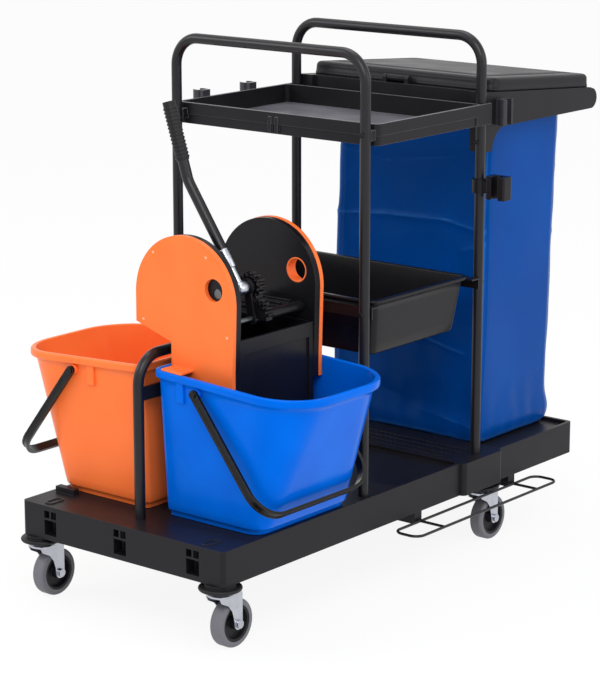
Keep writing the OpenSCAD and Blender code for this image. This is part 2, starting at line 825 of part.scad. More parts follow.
module bag_holder() color(black) from_middle() {
    half = holder_wid / 2;
    inside = half - holder_rail;
    skin = shell_t;
    difference() {
        union() {
            both_sides() translate([0, half, 0]) holder_side();
            rotate([90, 0, 0]) translate([0, 0, -half]) linear_extrude(holder_wid)
                polygon([[holder_x0 + 10, holder_line(holder_x0) - 30], [bag_x0, holder_line(bag_x0) - 30],
                         [bag_x0, holder_line(bag_x0)], [holder_x0 + 10, holder_line(holder_x0 + 10)]]);
            along_y(-half, half, push_x, holder_z + push_d / 2, push_d);
            span_block(bag_x1, push_x, -half, half, holder_z + 4, holder_line(push_x));
            for (s = [-1, 1]) {
                translate([0, s * 30 - 5, 0]) along_y(0, 10, hinge_x, hinge_z, 2 * hinge_r);
                span_block(hinge_x - hinge_r, hinge_x + hinge_r, s * 30 - 5, s * 30 + 5,
                           holder_line(hinge_x) - 8, hinge_z);
            }
        }
        span_block(bag_x0, bag_x1, -inside, inside, 0, 2 * frame_top);
        both_sides() {
            rotate([90, 0, 0]) translate([0, 0, -half + skin]) linear_extrude(holder_rail - 2 * skin)
                polygon([[bag_x0, holder_z - 1], [push_x - push_d, holder_z - 1],
                         [push_x - push_d, holder_line(push_x - push_d) - skin],
                         [bag_x0, holder_line(bag_x0) - skin]]);
            translate([rear_u_x, leg_y, 0]) cylinder(h = 2 * frame_top, d = tube_d + 2 * fit);
        }
        along_y(-half, half, hinge_x, hinge_z, hinge_pin_d + 2 * fit);
    }
}

// The lid lies along its own slope, with its hinge axis at the origin
module on_lid_slope() {
    translate([hinge_x, 0, hinge_z]) rotate([0, lid_fall, 0]) children();
}

module bag_lid() color(black) from_middle() on_lid_slope() {
    u0 = lid_x0 - hinge_x;
    drop = 10 * cos(lid_fall) - run;
    knuckle = 48;
    difference() {
        union() {
            translate([0, 0, -drop]) linear_extrude(lid_h - 9)
                rounded_span(u0, u0 + lid_len, -lid_wid / 2, lid_wid / 2, lid_r);
            translate([0, 0, -drop]) linear_extrude(lid_h - 4)
                rounded_span(u0 + 4, u0 + lid_len - 4, -lid_wid / 2 + 4, lid_wid / 2 - 4, lid_r - 4);
            translate([0, 0, -drop]) linear_extrude(lid_h)
                rounded_span(u0 + 10, u0 + lid_len - 10, -lid_wid / 2 + 10, lid_wid / 2 - 10, lid_r - 8);
            along_y(-knuckle / 2, knuckle / 2, 0, 0, 2 * hinge_r);
            span_block(0, u0 + eps, -knuckle / 2, knuckle / 2, -hinge_r * 0.6, hinge_r);
        }
        translate([0, 0, -drop - 1]) linear_extrude(lid_h - 9 - shell_t)
            rounded_span(u0 + shell_t, u0 + lid_len - shell_t, -lid_wid / 2 + shell_t,
                         lid_wid / 2 - shell_t, lid_r - shell_t);
        translate([0, 0, lid_h - drop - 2]) linear_extrude(big) difference() {
            rounded_span(u0 + 42, u0 + lid_len - 34, -lid_wid / 2 + 34, lid_wid / 2 - 34, lid_r);
            rounded_span(u0 + 47, u0 + lid_len - 39, -lid_wid / 2 + 39, lid_wid / 2 - 39, lid_r - 5);
        }
        along_y(-lid_wid, lid_wid, 0, 0, hinge_pin_d + 2 * run);
    }
}

module lid_hinge_pin() color(zinc) from_middle() along_y(-36, 36, hinge_x, hinge_z, hinge_pin_d);

module bag_outline(x0, x1, wall) {
    rounded_span(x0 + wall, x1 - wall, -bag_wid / 2 + wall, bag_wid / 2 - wall, 24 - wall, $fn = hull_fn);
}

// Places of the hook studs: on the inner faces of the side rails
module hook_places() {
    for (s = [-1, 1], f = [0.2, 0.8])
        translate([bag_front + f * bag_len, s * (holder_wid / 2 - holder_rail), bag_top - 14])
            rotate([s * 90, 0, 0]) children();
}

module bag_hooks() color(black) from_middle() hook_places() {
    cylinder(h = bag_gap + bag_wall + 6, d = 7);
    translate([0, 0, bag_gap + bag_wall + 3]) cylinder(h = 4, d = 14);
}

module bag() color(bag_blue) from_middle() difference() {
    taper(bag_foot, bag_top) {
        bag_outline(bag_foot_x0, bag_foot_x1, 0);
        bag_outline(bag_front, bag_front + bag_len, 0);
    }
    taper(bag_foot + bag_wall, bag_top + 1) {
        bag_outline(bag_foot_x0, bag_foot_x1, bag_wall);
        bag_outline(bag_front, bag_front + bag_len, bag_wall);
    }
    hook_places() cylinder(h = bag_gap + bag_wall + 2, d = 7 + 2 * run);
}

// Buckets, drawn for the +Y side
module bucket_outline(t, in) {
    corner_span(bucket_x + rim_w + (1 - t) * lean_front + in, bucket_x1 - rim_w - (1 - t) * lean_rear - in,
                rim_y0 + rim_w + (1 - t) * (lean_in - rim_w) + in,
                rim_y1 - rim_w - (1 - t) * (lean_out - rim_w) - in, inner_r - in,
                foot_r + t * (rim_r - foot_r) - in, $fn = hull_fn);
}

// Moves a drawing onto the rim, which falls away from the hoop
module on_rim() {
    translate([0, rim_y0, rim_z]) rotate([-rim_fall, 0, 0]) translate([0, -rim_y0, 0]) children();
}

// Wall from an outline at height z to another at a lift above the rim
module rim_taper(z, lift) {
    hull() {
        translate([0, 0, z]) linear_extrude(eps) children(0);
        on_rim() translate([0, 0, lift - eps]) linear_extrude(eps) children(1);
    }
}

module bail_lugs(y) {
    for (x = [bucket_x + bail_t, bucket_x1 - bail_t - 16])
        along_x(x - bail_t + run, x + 16 + bail_t - run, y, bail_at(y), bail_pin_d + 12);
}

module bucket(y) {
    wall = bucket_wall;
    difference() {
        union() {
            rim_taper(bucket_z + foot_h, 0) {
                bucket_outline(0.05, 0);
                bucket_outline(1, 0);
            }
            translate([0, 0, bucket_z]) linear_extrude(foot_h + eps) bucket_outline(0, foot_in);
            on_rim() translate([0, 0, -rim_h]) linear_extrude(rim_h)
                corner_span(bucket_x, bucket_x1, rim_y0, rim_y1, inner_r, rim_r + rim_w);
            bail_lugs(y);
        }
        rim_taper(bucket_z + foot_h + wall, 1) {
            bucket_outline(0.07, wall);
            bucket_outline(1, wall);
        }
        translate([0, 0, bucket_z + wall]) linear_extrude(foot_h + eps) bucket_outline(0, foot_in + wall);
        along_x(0, 2 * bucket_x1, y, bail_at(y), bail_pin_d + 2 * fit);
    }
}

module orange_bucket() color(orange) from_middle() bucket(left_bail_y);

module blue_bucket() color(blue) from_middle() mirror([0, 1, 0]) bucket(right_bail_y);

// Bail in its own plane: pivots on the X axis, reach along -Y, strap width along Z
module bail_ring(reach, top, t) {
    half = bail_span / 2;
    difference() {
        intersection() {
            rounded_span(-half, half, -reach, reach, bail_r);
            translate([-half, -reach]) square([2 * half, reach - top]);
        }
        rounded_span(-half + t, half - t, -reach + t, reach - t, bail_r - t);
    }
}

// The strap has a shallow channel along its outer face
module bail_strap(reach) {
    half = bail_span / 2;
    difference() {
        linear_extrude(bail_w, center = true) bail_ring(reach, 0, bail_t);
        linear_extrude(bail_w * 0.6, center = true) bail_ring(reach, bail_w * 1.4, bail_t * 0.25);
    }
    for (s = [-1, 1])
        along_x(s * (half - bail_t / 2) - bail_t / 2, s * (half - bail_t / 2) + bail_t / 2, 0, 0, bail_w);
}

module bail(y, reach) {
    difference() {
        translate([bucket_x + bucket_len / 2, y, bail_at(y)]) rotate([90 + bail_lean, 0, 0]) bail_strap(reach);
        along_x(0, 2 * bucket_x1, y, bail_at(y), bail_pin_d + 2 * run);
    }
}

module bail_pins(y) {
    half = bail_span / 2;
    mid = bucket_x + bucket_len / 2;
    for (s = [-1, 1]) {
        along_x(min(mid + s * (half + 1), mid + s * (half - bail_t - 14)),
                max(mid + s * (half + 1), mid + s * (half - bail_t - 14)), y, bail_at(y), bail_pin_d);
        along_x(mid + s * (half + run + 1.5) - 1.5, mid + s * (half + run + 1.5) + 1.5, y, bail_at(y),
                bail_pin_d + 6);
    }
}

module orange_bail() color(tube_black) from_middle() bail(left_bail_y, left_reach);

module orange_bail_pins() color(tube_black) from_middle() bail_pins(left_bail_y);

module blue_bail() color(tube_black) from_middle() mirror([0, 1, 0]) bail(right_bail_y, right_reach);

module blue_bail_pins() color(tube_black) from_middle() mirror([0, 1, 0]) bail_pins(right_bail_y);

// Wringer sides, drawn flat with Y across and Z up
module side_outline(in) {
    y0 = -(chamber_y + chamber_wid) - 2 + in;
    y1 = -chamber_y - in;
    shoulder = hoop_top + tube_d / 2 + 14 + in;
    translate([side_mid, side_z]) intersection() {
        circle(side_r - in);
        translate([-big, 0]) square([2 * big, big]);
    }
    polygon([[side_mid - side_r + in, side_z], [y0, rim_z + 6], [y0, side_foot + in], [y1, side_foot + in],
             [y1, shoulder], [side_over - in, shoulder + 30], [side_over - in, side_z]]);
}

// Turns a flat YZ drawing into a plate from x0 to x1
module side_plate(x0, x1) {
    translate([x0, 0, 0]) rotate([90, 0, 90]) linear_extrude(x1 - x0) children();
}

module side_cover(x0, x1) {
    side_plate(x0, x1) difference() {
        side_outline(0);
        translate([-hand_y, hand_z]) circle(d = hand_d);
    }
}

// Lip that hangs the wringer on the bucket rim
module rim_lip(x0, x1) {
    lip_t = 4;
    lip_wid = chamber_wid / 3;
    mirror([0, 1, 0]) on_rim() span_block(x0, x1, chamber_y + 6, chamber_y + 6 + lip_wid, run, run + lip_t);
}

module wringer_front_cover() color(orange) from_middle() {
    side_cover(side_x0, frame_x0);
    rim_lip(bucket_x + rim_w / 2, side_x0 + 1);
}

module wringer_rear_cover() color(orange) from_middle() {
    side_cover(frame_x1, side_x1);
    rim_lip(side_x1 - 1, bucket_x1 - rim_w / 2);
    side_plate(frame_x1 - frame_t, frame_x1 + eps) translate([-hand_y, hand_z]) difference() {
        circle(d = hand_d + 6);
        circle(d = hand_d);
    }
}

module wringer_front_frame() color(black) from_middle() difference() {
    side_plate(frame_x0 + fit, bay_x0) side_outline(1);
    along_x(0, 2 * bucket_x1, -shaft_y, shaft_z, shaft_d + 2 * run);
    along_x(0, 2 * bucket_x1, -rod_y, rod_z, rod_d + 2 * fit);
}

module wringer_rear_frame() color(black) from_middle() difference() {
    side_plate(bay_x1, frame_x1 - fit) side_outline(1);
    along_x(bay_x1 - 1, frame_x1 + 1, -hand_y, hand_z, hand_d + 6 + 2 * fit);
    along_x(bay_x1 - 1, frame_x1 + 1, -rod_y, rod_z, rod_d + 2 * fit);
}

module wringer_chamber() color(black) from_middle() {
    x0 = bay_x0 + fit;
    x1 = bay_x1 - fit;
    y0 = -(chamber_y + chamber_wid);
    y1 = -chamber_y;
    z0 = chamber_top - chamber_h;
    w = chamber_wall;
    rail = 30;
    count = 9;
    pitch = (x1 - x0 - 2 * w) / count;
    difference() {
        span_block(x0, x1, y0, y1, z0, chamber_top);
        span_block(x0 + w, x1 - w, y0 + w + 4, y1 - w, z0 + w, chamber_top + 1);
        span_block(x0 + 14, x1 - 14, y0 - 1, y0 + 4, z0 + 20, chamber_top - rail);
        for (i = [0:count - 1])
            span_block(x0 + w + (i + 0.3) * pitch, x0 + w + (i + 0.7) * pitch, y0 + 24, y1 - 24, z0 - 1, z0 + w + 1);
    }
}

// Flat link that carries the inner end of the lever shaft from the press rod
module bearing_link() color(black) from_middle() difference() {
    side_plate(link_x, link_x + link_t) {
        translate([-shaft_y, shaft_z]) circle(d = shaft_d + 14);
        translate([-rod_y, rod_z]) circle(d = rod_d + 14);
        translate([-rod_y, rod_z]) rotate(-drive_tilt) translate([-9, 0]) square([18, gear_gap]);
    }
    along_x(0, 2 * bucket_x1, -shaft_y, shaft_z, shaft_d + 2 * run);
    along_x(0, 2 * bucket_x1, -rod_y, rod_z, rod_d + 2 * fit);
}

module press_rod() color(zinc) from_middle() along_x(frame_x0 + 1, frame_x1 - 1, -rod_y, rod_z, rod_d);

// Press jaw: a ribbed plate on the rod with a toothed sector that meets the lever pinion
module press_jaw() color(black) from_middle() difference() {
    x1 = bay_x1 - chamber_wall - 3;
    root = gear_m * (press_n / 2 - 1.15);
    first = -1;
    last = 4;
    pitch = 360 / press_n;
    rib_pitch = (x1 - gear_x - gear_w) / 4;
    union() {
        along_x(gear_x, x1, -rod_y, rod_z, rod_d + 12);
        span_block(gear_x, x1, -rod_y, -rod_y + jaw_len, rod_z - jaw_t / 2, rod_z + jaw_t / 2);
        for (i = [0:3])
            span_block(gear_x + gear_w + (i + 0.4) * rib_pitch, gear_x + gear_w + (i + 0.6) * rib_pitch,
                       -rod_y + rod_d, -rod_y + jaw_len - 8, rod_z + jaw_t / 2 - eps, rod_z + jaw_t / 2 + 6);
        side_plate(gear_x, gear_x + gear_w) translate([-rod_y, rod_z])
            rotate(90 - drive_tilt + pitch / 2) union() {
                polygon(concat([[0, 0]], tooth_points(press_n, first, last)));
                intersection() {
                    circle(root);
                    polygon([[0, 0], for (i = [first - 1:last + 1]) 2 * root * [cos(i * pitch), sin(i * pitch)]]);
                }
            }
    }
    along_x(0, 2 * bucket_x1, -rod_y, rod_z, rod_d + 2 * run);
}

// Lever
module lever_shaft() color(zinc) from_middle() along_x(frame_x0 + 2, shaft_end, -shaft_y, shaft_z, shaft_d);

module lever_pinion() color(zinc) from_middle() difference() {
    side_plate(gear_x, gear_x + gear_w) translate([-shaft_y, shaft_z]) rotate(-90 - drive_tilt)
        polygon(tooth_points(pinion_n, 0, pinion_n - 1));
    along_x(0, 2 * bucket_x1, -shaft_y, shaft_z, shaft_d + 2 * fit);
}

// Lever frame: +Z runs up the lower lever from the shaft axis
module on_lever() {
    translate([lever_x, -shaft_y, shaft_z]) rotate([-lever_lean, 0, 0]) children();
}

module lever_hub() color(zinc) from_middle() difference() {
    on_lever() {
        rotate([0, 90, 0]) rotate_extrude() polygon(concat([[0, -hub_w / 2]],
            [for (a = [-70:20:70]) [hub_d / 2 * cos(a * 0.6), hub_w / 2 * sin(a) / sin(70)]], [[0, hub_w / 2]]));
        cylinder(h = shank_len, d = shank_d);
        translate([0, 0, shank_len - plug_in]) cylinder(h = plug_len, d = tube_d);
    }
    along_x(0, 2 * bucket_x1, -shaft_y, shaft_z, shaft_d + 2 * fit);
}

module lever_tube() color(tube_black) from_middle() on_lever() {
    turn = lever_lean - grip_lean;
    lever_r = 70;
    setback = lever_r * tan(turn / 2);
    start = shank_len - plug_in + plug_len + fit;
    translate([0, 0, start]) linear_extrude(lever_len - setback - start) tube_ring();
    translate([0, -lever_r, lever_len - setback]) rotate([90, 0, 90]) rotate_extrude(angle = turn)
        translate([lever_r, 0]) tube_ring();
    translate([0, 0, lever_len]) rotate([turn, 0, 0]) translate([0, 0, setback - 3])
        linear_extrude(upper_len - setback + 3) difference() {
            circle(d = sleeve_d);
            circle(d = 2 * tube_d - 2 * tube_wall - sleeve_d);
        }
}

module lever_grip() color(tube_black) from_middle() on_lever()
    translate([0, 0, lever_len]) rotate([lever_lean - grip_lean, 0, 0]) {
        z0 = upper_len - grip_len;
        ribs = 14;
        pitch = (grip_len - 8) / ribs;
        difference() {
            union() {
                translate([0, 0, z0]) cylinder(h = grip_len + 4, d = tube_d + 4);
                for (i = [0:ribs - 1])
                    translate([0, 0, z0 + 4 + i * pitch]) cylinder(h = pitch * 0.5, d = tube_d + 7);
            }
            translate([0, 0, z0 - 1]) cylinder(h = grip_len + 1 + fit, d = sleeve_d + 2 * fit);
        }
    }

// Side rack and its brackets
module rack_bend(x, y, a) {
    translate([x, y, rack_z]) rotate([0, 0, a]) rotate_extrude(angle = 90) translate([rack_r, 0]) circle(d = wire_d);
}

module wire_rack() color(tube_black) from_middle() {
    x1 = rack_x + rack_len;
    y0 = -rack_y - rack_wid;
    for (y = [-rack_y, y0]) along_x(rack_x + rack_r, x1 - rack_r, y, rack_z, wire_d);
    for (x = [rack_x, x1]) along_y(y0 + rack_r, -rack_y - rack_r, x, rack_z, wire_d);
    rack_bend(x1 - rack_r, -rack_y - rack_r, 0);
    rack_bend(rack_x + rack_r, -rack_y - rack_r, 90);
    rack_bend(rack_x + rack_r, y0 + rack_r, 180);
    rack_bend(x1 - rack_r, y0 + rack_r, 270);
    for (x = rack_arm_xs) along_y(y0, -base_wid / 2 + rack_arm_in, x, rack_z, wire_d);
}

module rack_brackets() color(black) from_middle() for (x = rack_arm_xs) difference() {
    span_block(x - 12, x + 12, -base_wid / 2, -base_wid / 2 + rack_arm_in, rack_z - wire_d / 2 - 3, base_z);
    along_y(-base_wid, 0, x, rack_z, wire_d + 2 * fit);
}

// Casters
module each_caster() {
    for (i = [0:3]) translate([caster_xs[i], caster_sides[i] * caster_y, 0]) children();
}

module caster_bumpers() color(tube_black) from_middle() each_caster() translate([0, 0, base_z - bumper_t])
    rotate_extrude() difference() {
        union() {
            square([bumper_d * 0.36, bumper_t]);
            square([bumper_d / 2 - bumper_lip / 2, bumper_lip]);
            translate([bumper_d / 2 - bumper_lip / 2, bumper_lip / 2]) circle(bumper_lip / 2);
        }
        translate([-big, -big]) square([big + king_d / 2 + fit, 2 * big]);
    }

module swivel_races() color(zinc) from_middle() each_caster() translate([0, 0, crown_top + run]) rotate_extrude()
    polygon([[king_d / 2 + fit, 0], [crown_d / 2 - 6, 0], [crown_d / 2, race_h], [king_d / 2 + fit, race_h]]);

module king_pins() color(zinc) from_middle() each_caster() {
    z0 = crown_top - crown_t - run - nut_h;
    translate([0, 0, z0]) cylinder(h = base_z + base_h - 20 - z0, d = king_d);
    translate([0, 0, z0]) cylinder(h = nut_h, d = king_d + 8);
}

// Fork drawn round its swivel axis, trailing toward +X
module fork_cheek() {
    top = crown_top - crown_t;
    mid = wheel_d / 2;
    polygon([[-crown_d / 2 + 4, top], [trail + cheek_r, top], [trail + cheek_r, mid], [trail - cheek_r, mid],
             [trail - cheek_r - 2, mid + 14], [trail - cheek_r - 7, mid + 30], [trail - cheek_r - 18, mid + 44],
             [-crown_d / 2 + 10, top - 10]]);
    translate([trail, mid]) circle(cheek_r);
}

module fork(i) {
    inside = wheel_w / 2 + 2;
    rear = trail + cheek_r;
    translate([caster_xs[i], caster_sides[i] * caster_y, 0]) difference() {
        union() {
            translate([0, 0, crown_top - crown_t]) linear_extrude(crown_t) {
                circle(d = crown_d);
                rounded_span(-crown_d / 2 + 4, rear, -inside - fork_t, inside + fork_t, 3);
            }
            for (s = [-1, 1])
                translate([0, s * (inside + fork_t / 2) + fork_t / 2, 0]) rotate([90, 0, 0])
                    linear_extrude(fork_t) union() {
                        fork_cheek();
                        translate([-crown_d / 2 + 7, crown_top - crown_t - eps])
                            square([rear + crown_d / 2 - 10, crown_t / 2]);
                    }
        }
        translate([0, 0, wheel_d]) cylinder(h = base_z, d = king_d + 2 * run);
        along_y(-wheel_w, wheel_w, trail, wheel_d / 2, axle_d + 2 * fit);
    }
}

module axle(i) {
    half = wheel_w / 2 + 2 + fork_t;
    translate([caster_xs[i], caster_sides[i] * caster_y, 0]) {
        along_y(-half - 2, half + 2, trail, wheel_d / 2, axle_d);
        for (s = [-1, 1]) along_y(s * (half + 3) - 3 + fit, s * (half + 3) + 3 - fit, trail, wheel_d / 2, axle_d + 7);
    }
}

module at_wheel(i) {
    translate([caster_xs[i] + trail, caster_sides[i] * caster_y, wheel_d / 2]) rotate([90, 0, 0]) children();
}

module tyre(i) {
    shoulder = 6;
    depth = 12;
    at_wheel(i) rotate_extrude() union() {
        translate([wheel_d / 2 - depth, -wheel_w / 2]) square([depth - shoulder, wheel_w]);
        translate([wheel_d / 2 - shoulder - eps, -wheel_w / 2 + shoulder]) square([shoulder + eps, wheel_w - 2 * shoulder]);
        for (s = [-1, 1])
            translate([wheel_d / 2 - shoulder, s * (wheel_w / 2 - shoulder)]) circle(shoulder);
    }
}

module wheel_hub(i) {
    rim = wheel_d / 2 - 12 - fit;
    bore = axle_d / 2 + run;
    web = 5;
    at_wheel(i) rotate_extrude() polygon([
        [bore, -wheel_w / 2 - 1.2], [bore + 6, -wheel_w / 2 - 1.2], [bore + 8, -web], [rim - 8, -web],
        [rim - 5, -wheel_w / 2 + 1], [rim, -wheel_w / 2 + 1], [rim, wheel_w / 2 - 1], [rim - 5, wheel_w / 2 - 1],
        [rim - 8, web], [bore + 8, web], [bore + 6, wheel_w / 2 + 1.2], [bore, wheel_w / 2 + 1.2]]);
}

module fl_fork() color(zinc) from_middle() fork(0);
module fr_fork() color(zinc) from_middle() fork(1);
module rl_fork() color(zinc) from_middle() fork(2);
module rr_fork() color(zinc) from_middle() fork(3);
module fl_axle() color(zinc) from_middle() axle(0);
module fr_axle() color(zinc) from_middle() axle(1);
module rl_axle() color(zinc) from_middle() axle(2);
module rr_axle() color(zinc) from_middle() axle(3);
module fl_tyre() color(tread_grey) from_middle() tyre(0);
module fr_tyre() color(tread_grey) from_middle() tyre(1);
module rl_tyre() color(tread_grey) from_middle() tyre(2);
module rr_tyre() color(tread_grey) from_middle() tyre(3);
module fl_hub() color(tube_black) from_middle() wheel_hub(0);
module fr_hub() color(tube_black) from_middle() wheel_hub(1);
module rl_hub() color(tube_black) from_middle() wheel_hub(2);
module rr_hub() color(tube_black) from_middle() wheel_hub(3);

front_platform();
main_deck();
front_u_frame();
rear_u_frame();
divider_hoop();
divider_strap();
top_tray();
frame_bolts();
left_tool_clips();
right_tool_clip();
leg_clip();
tote_rails();
tote();
bag_holder();
bag_hooks();
bag();
bag_lid();
lid_hinge_pin();
orange_bucket();
orange_bail();
orange_bail_pins();
blue_bucket();
blue_bail();
blue_bail_pins();
wringer_front_cover();
wringer_front_frame();
wringer_rear_frame();
wringer_rear_cover();
wringer_chamber();
bearing_link();
press_rod();
press_jaw();
lever_shaft();
lever_pinion();
lever_hub();
lever_tube();
lever_grip();
wire_rack();
rack_brackets();
caster_bumpers();
swivel_races();
king_pins();
fl_fork();
fr_fork();
rl_fork();
rr_fork();
fl_axle();
fr_axle();
rl_axle();
rr_axle();
fl_tyre();
fr_tyre();
rl_tyre();
rr_tyre();
fl_hub();
fr_hub();
rl_hub();
rr_hub();
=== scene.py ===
"""Looks of the janitor cart: finishes, soft and moulded pieces, studio and camera."""

import logging
import math
from dataclasses import dataclass, field
from enum import Enum
from typing import Dict, Iterable, List, Optional, Sequence, Tuple, Union

import bmesh
import bpy
from mathutils import Matrix, Vector, noise


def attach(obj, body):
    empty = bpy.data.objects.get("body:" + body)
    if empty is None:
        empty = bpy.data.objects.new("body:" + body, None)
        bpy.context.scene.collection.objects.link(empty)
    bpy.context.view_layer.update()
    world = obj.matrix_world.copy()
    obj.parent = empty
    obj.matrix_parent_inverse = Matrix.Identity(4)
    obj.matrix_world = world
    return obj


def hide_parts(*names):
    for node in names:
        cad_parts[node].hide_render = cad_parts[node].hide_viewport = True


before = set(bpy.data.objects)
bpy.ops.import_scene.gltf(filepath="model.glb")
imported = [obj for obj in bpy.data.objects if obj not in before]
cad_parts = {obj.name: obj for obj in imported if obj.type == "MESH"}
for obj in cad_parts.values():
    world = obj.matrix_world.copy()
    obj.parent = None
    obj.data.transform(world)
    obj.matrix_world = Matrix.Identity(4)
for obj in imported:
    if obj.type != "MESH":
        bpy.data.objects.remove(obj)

logging.basicConfig(level=logging.INFO, format="%(message)s")
LOG = logging.getLogger("cart")

Point = Tuple[float, float, float]
Ring = List[Point]
Steps = Tuple[Tuple[float, float], ...]
Colour = Tuple[float, float, float, float]
Key = Union[str, int]
MM = 0.001
# The cart's own X is counted from the front face of the base; the model's X from the middle of its box.
MID_X = 653.575
WHITE: Colour = (1.0, 1.0, 1.0, 1.0)
# Sockets of a colour mix: its inputs and outputs share names, so they go by number.
MIX_SHARE, MIX_FROM, MIX_TO, MIX_OUT = 0, 6, 7, 2


class Body(str, Enum):
    """Rigid bodies that new pieces ride on."""

    CART = "cart"
    TOTE = "tote"
    LID = "lid"
    ORANGE = "orange_bucket"
    BLUE = "blue_bucket"
    WRINGER = "wringer"
    LEVER = "lever"


class Side(Enum):
    """Which side of the hoop a bucket stands on."""

    LEFT = 1
    RIGHT = -1


def linear(code: str) -> Colour:
    """Turns an sRGB hex colour to linear.

    Args:
        code: six hex digits.
    Returns:
        Linear red, green and blue, and full opacity.
    """
    parts = [int(code[i:i + 2], 16) / 255 for i in (0, 2, 4)]
    red, green, blue = (c / 12.92 if c <= 0.04045 else ((c + 0.055) / 1.055) ** 2.4 for c in parts)
    return red, green, blue, 1.0


def at(x: float, y: float, z: float) -> Point:
    """Cart millimetres to model metres.

    Args:
        x: distance from the base front.
        y: distance from the middle, to the orange side.
        z: height above the floor.
    Returns:
        The point in the model's frame.
    """
    return (x - MID_X) * MM, y * MM, z * MM


def clamp(value: float) -> float:
    """A value held between 0 and 1."""
    return min(1.0, max(0.0, value))


def spread(first: float, last: float, pieces: int) -> List[float]:
    """Evenly spaced values from first to last, ends included."""
    return [first + (last - first) * k / pieces for k in range(pieces + 1)]


def arc_steps(start: float, end: float, pieces: int) -> List[float]:
    """Angles in radians from start to end degrees, ends included."""
    return [math.radians(angle) for angle in spread(start, end, pieces)]


def circle_steps(pieces: int) -> List[float]:
    """Angles in radians once round, the start not repeated."""
    return arc_steps(0, 360, pieces)[:-1]


def add_node(tree: bpy.types.NodeTree, kind: str, settings: Optional[Dict[Key, object]] = None,
             links: Optional[Dict[Key, bpy.types.NodeSocket]] = None) -> bpy.types.Node:
    """Adds a shader node with its settings and links.

    Args:
        tree: the node tree that gets it.
        kind: the node's type name.
        settings: attributes or inputs with their values; "stops" holds a colour ramp's places and colours.
        links: inputs with the output sockets that feed them.
    Returns:
        The new node.
    """
    node = tree.nodes.new(kind)
    for name, value in (settings or {}).items():
        if name == "stops":
            elements = node.color_ramp.elements
            for element, (position, colour) in zip(elements, value):
                element.position, element.color = position, colour
        elif isinstance(name, int) or name in node.inputs:
            node.inputs[name].default_value = value
        else:
            setattr(node, name, value)
    for name, socket in (links or {}).items():
        tree.links.new(socket, node.inputs[name])
    return node


def start_material(name: str, ior: float, tint: str
                   ) -> Tuple[bpy.types.Material, bpy.types.Node, bpy.types.NodeSocket]:
    """Starts a node material.

    Args:
        name: what the real material is and how it was made.
        ior: refractive index.
        tint: sRGB hex of its reflections seen from straight on.
    Returns:
        The material, its shader and the socket that gives places on the piece in metres.
    """
    material = bpy.data.materials.new(name)
    material.use_nodes = True
    shader = material.node_tree.nodes["Principled BSDF"]
    shader.inputs["IOR"].default_value = ior
    shader.inputs["Specular Tint"].default_value = linear(tint)
    place = add_node(material.node_tree, "ShaderNodeTexCoord").outputs["Object"]
    return material, shader, place


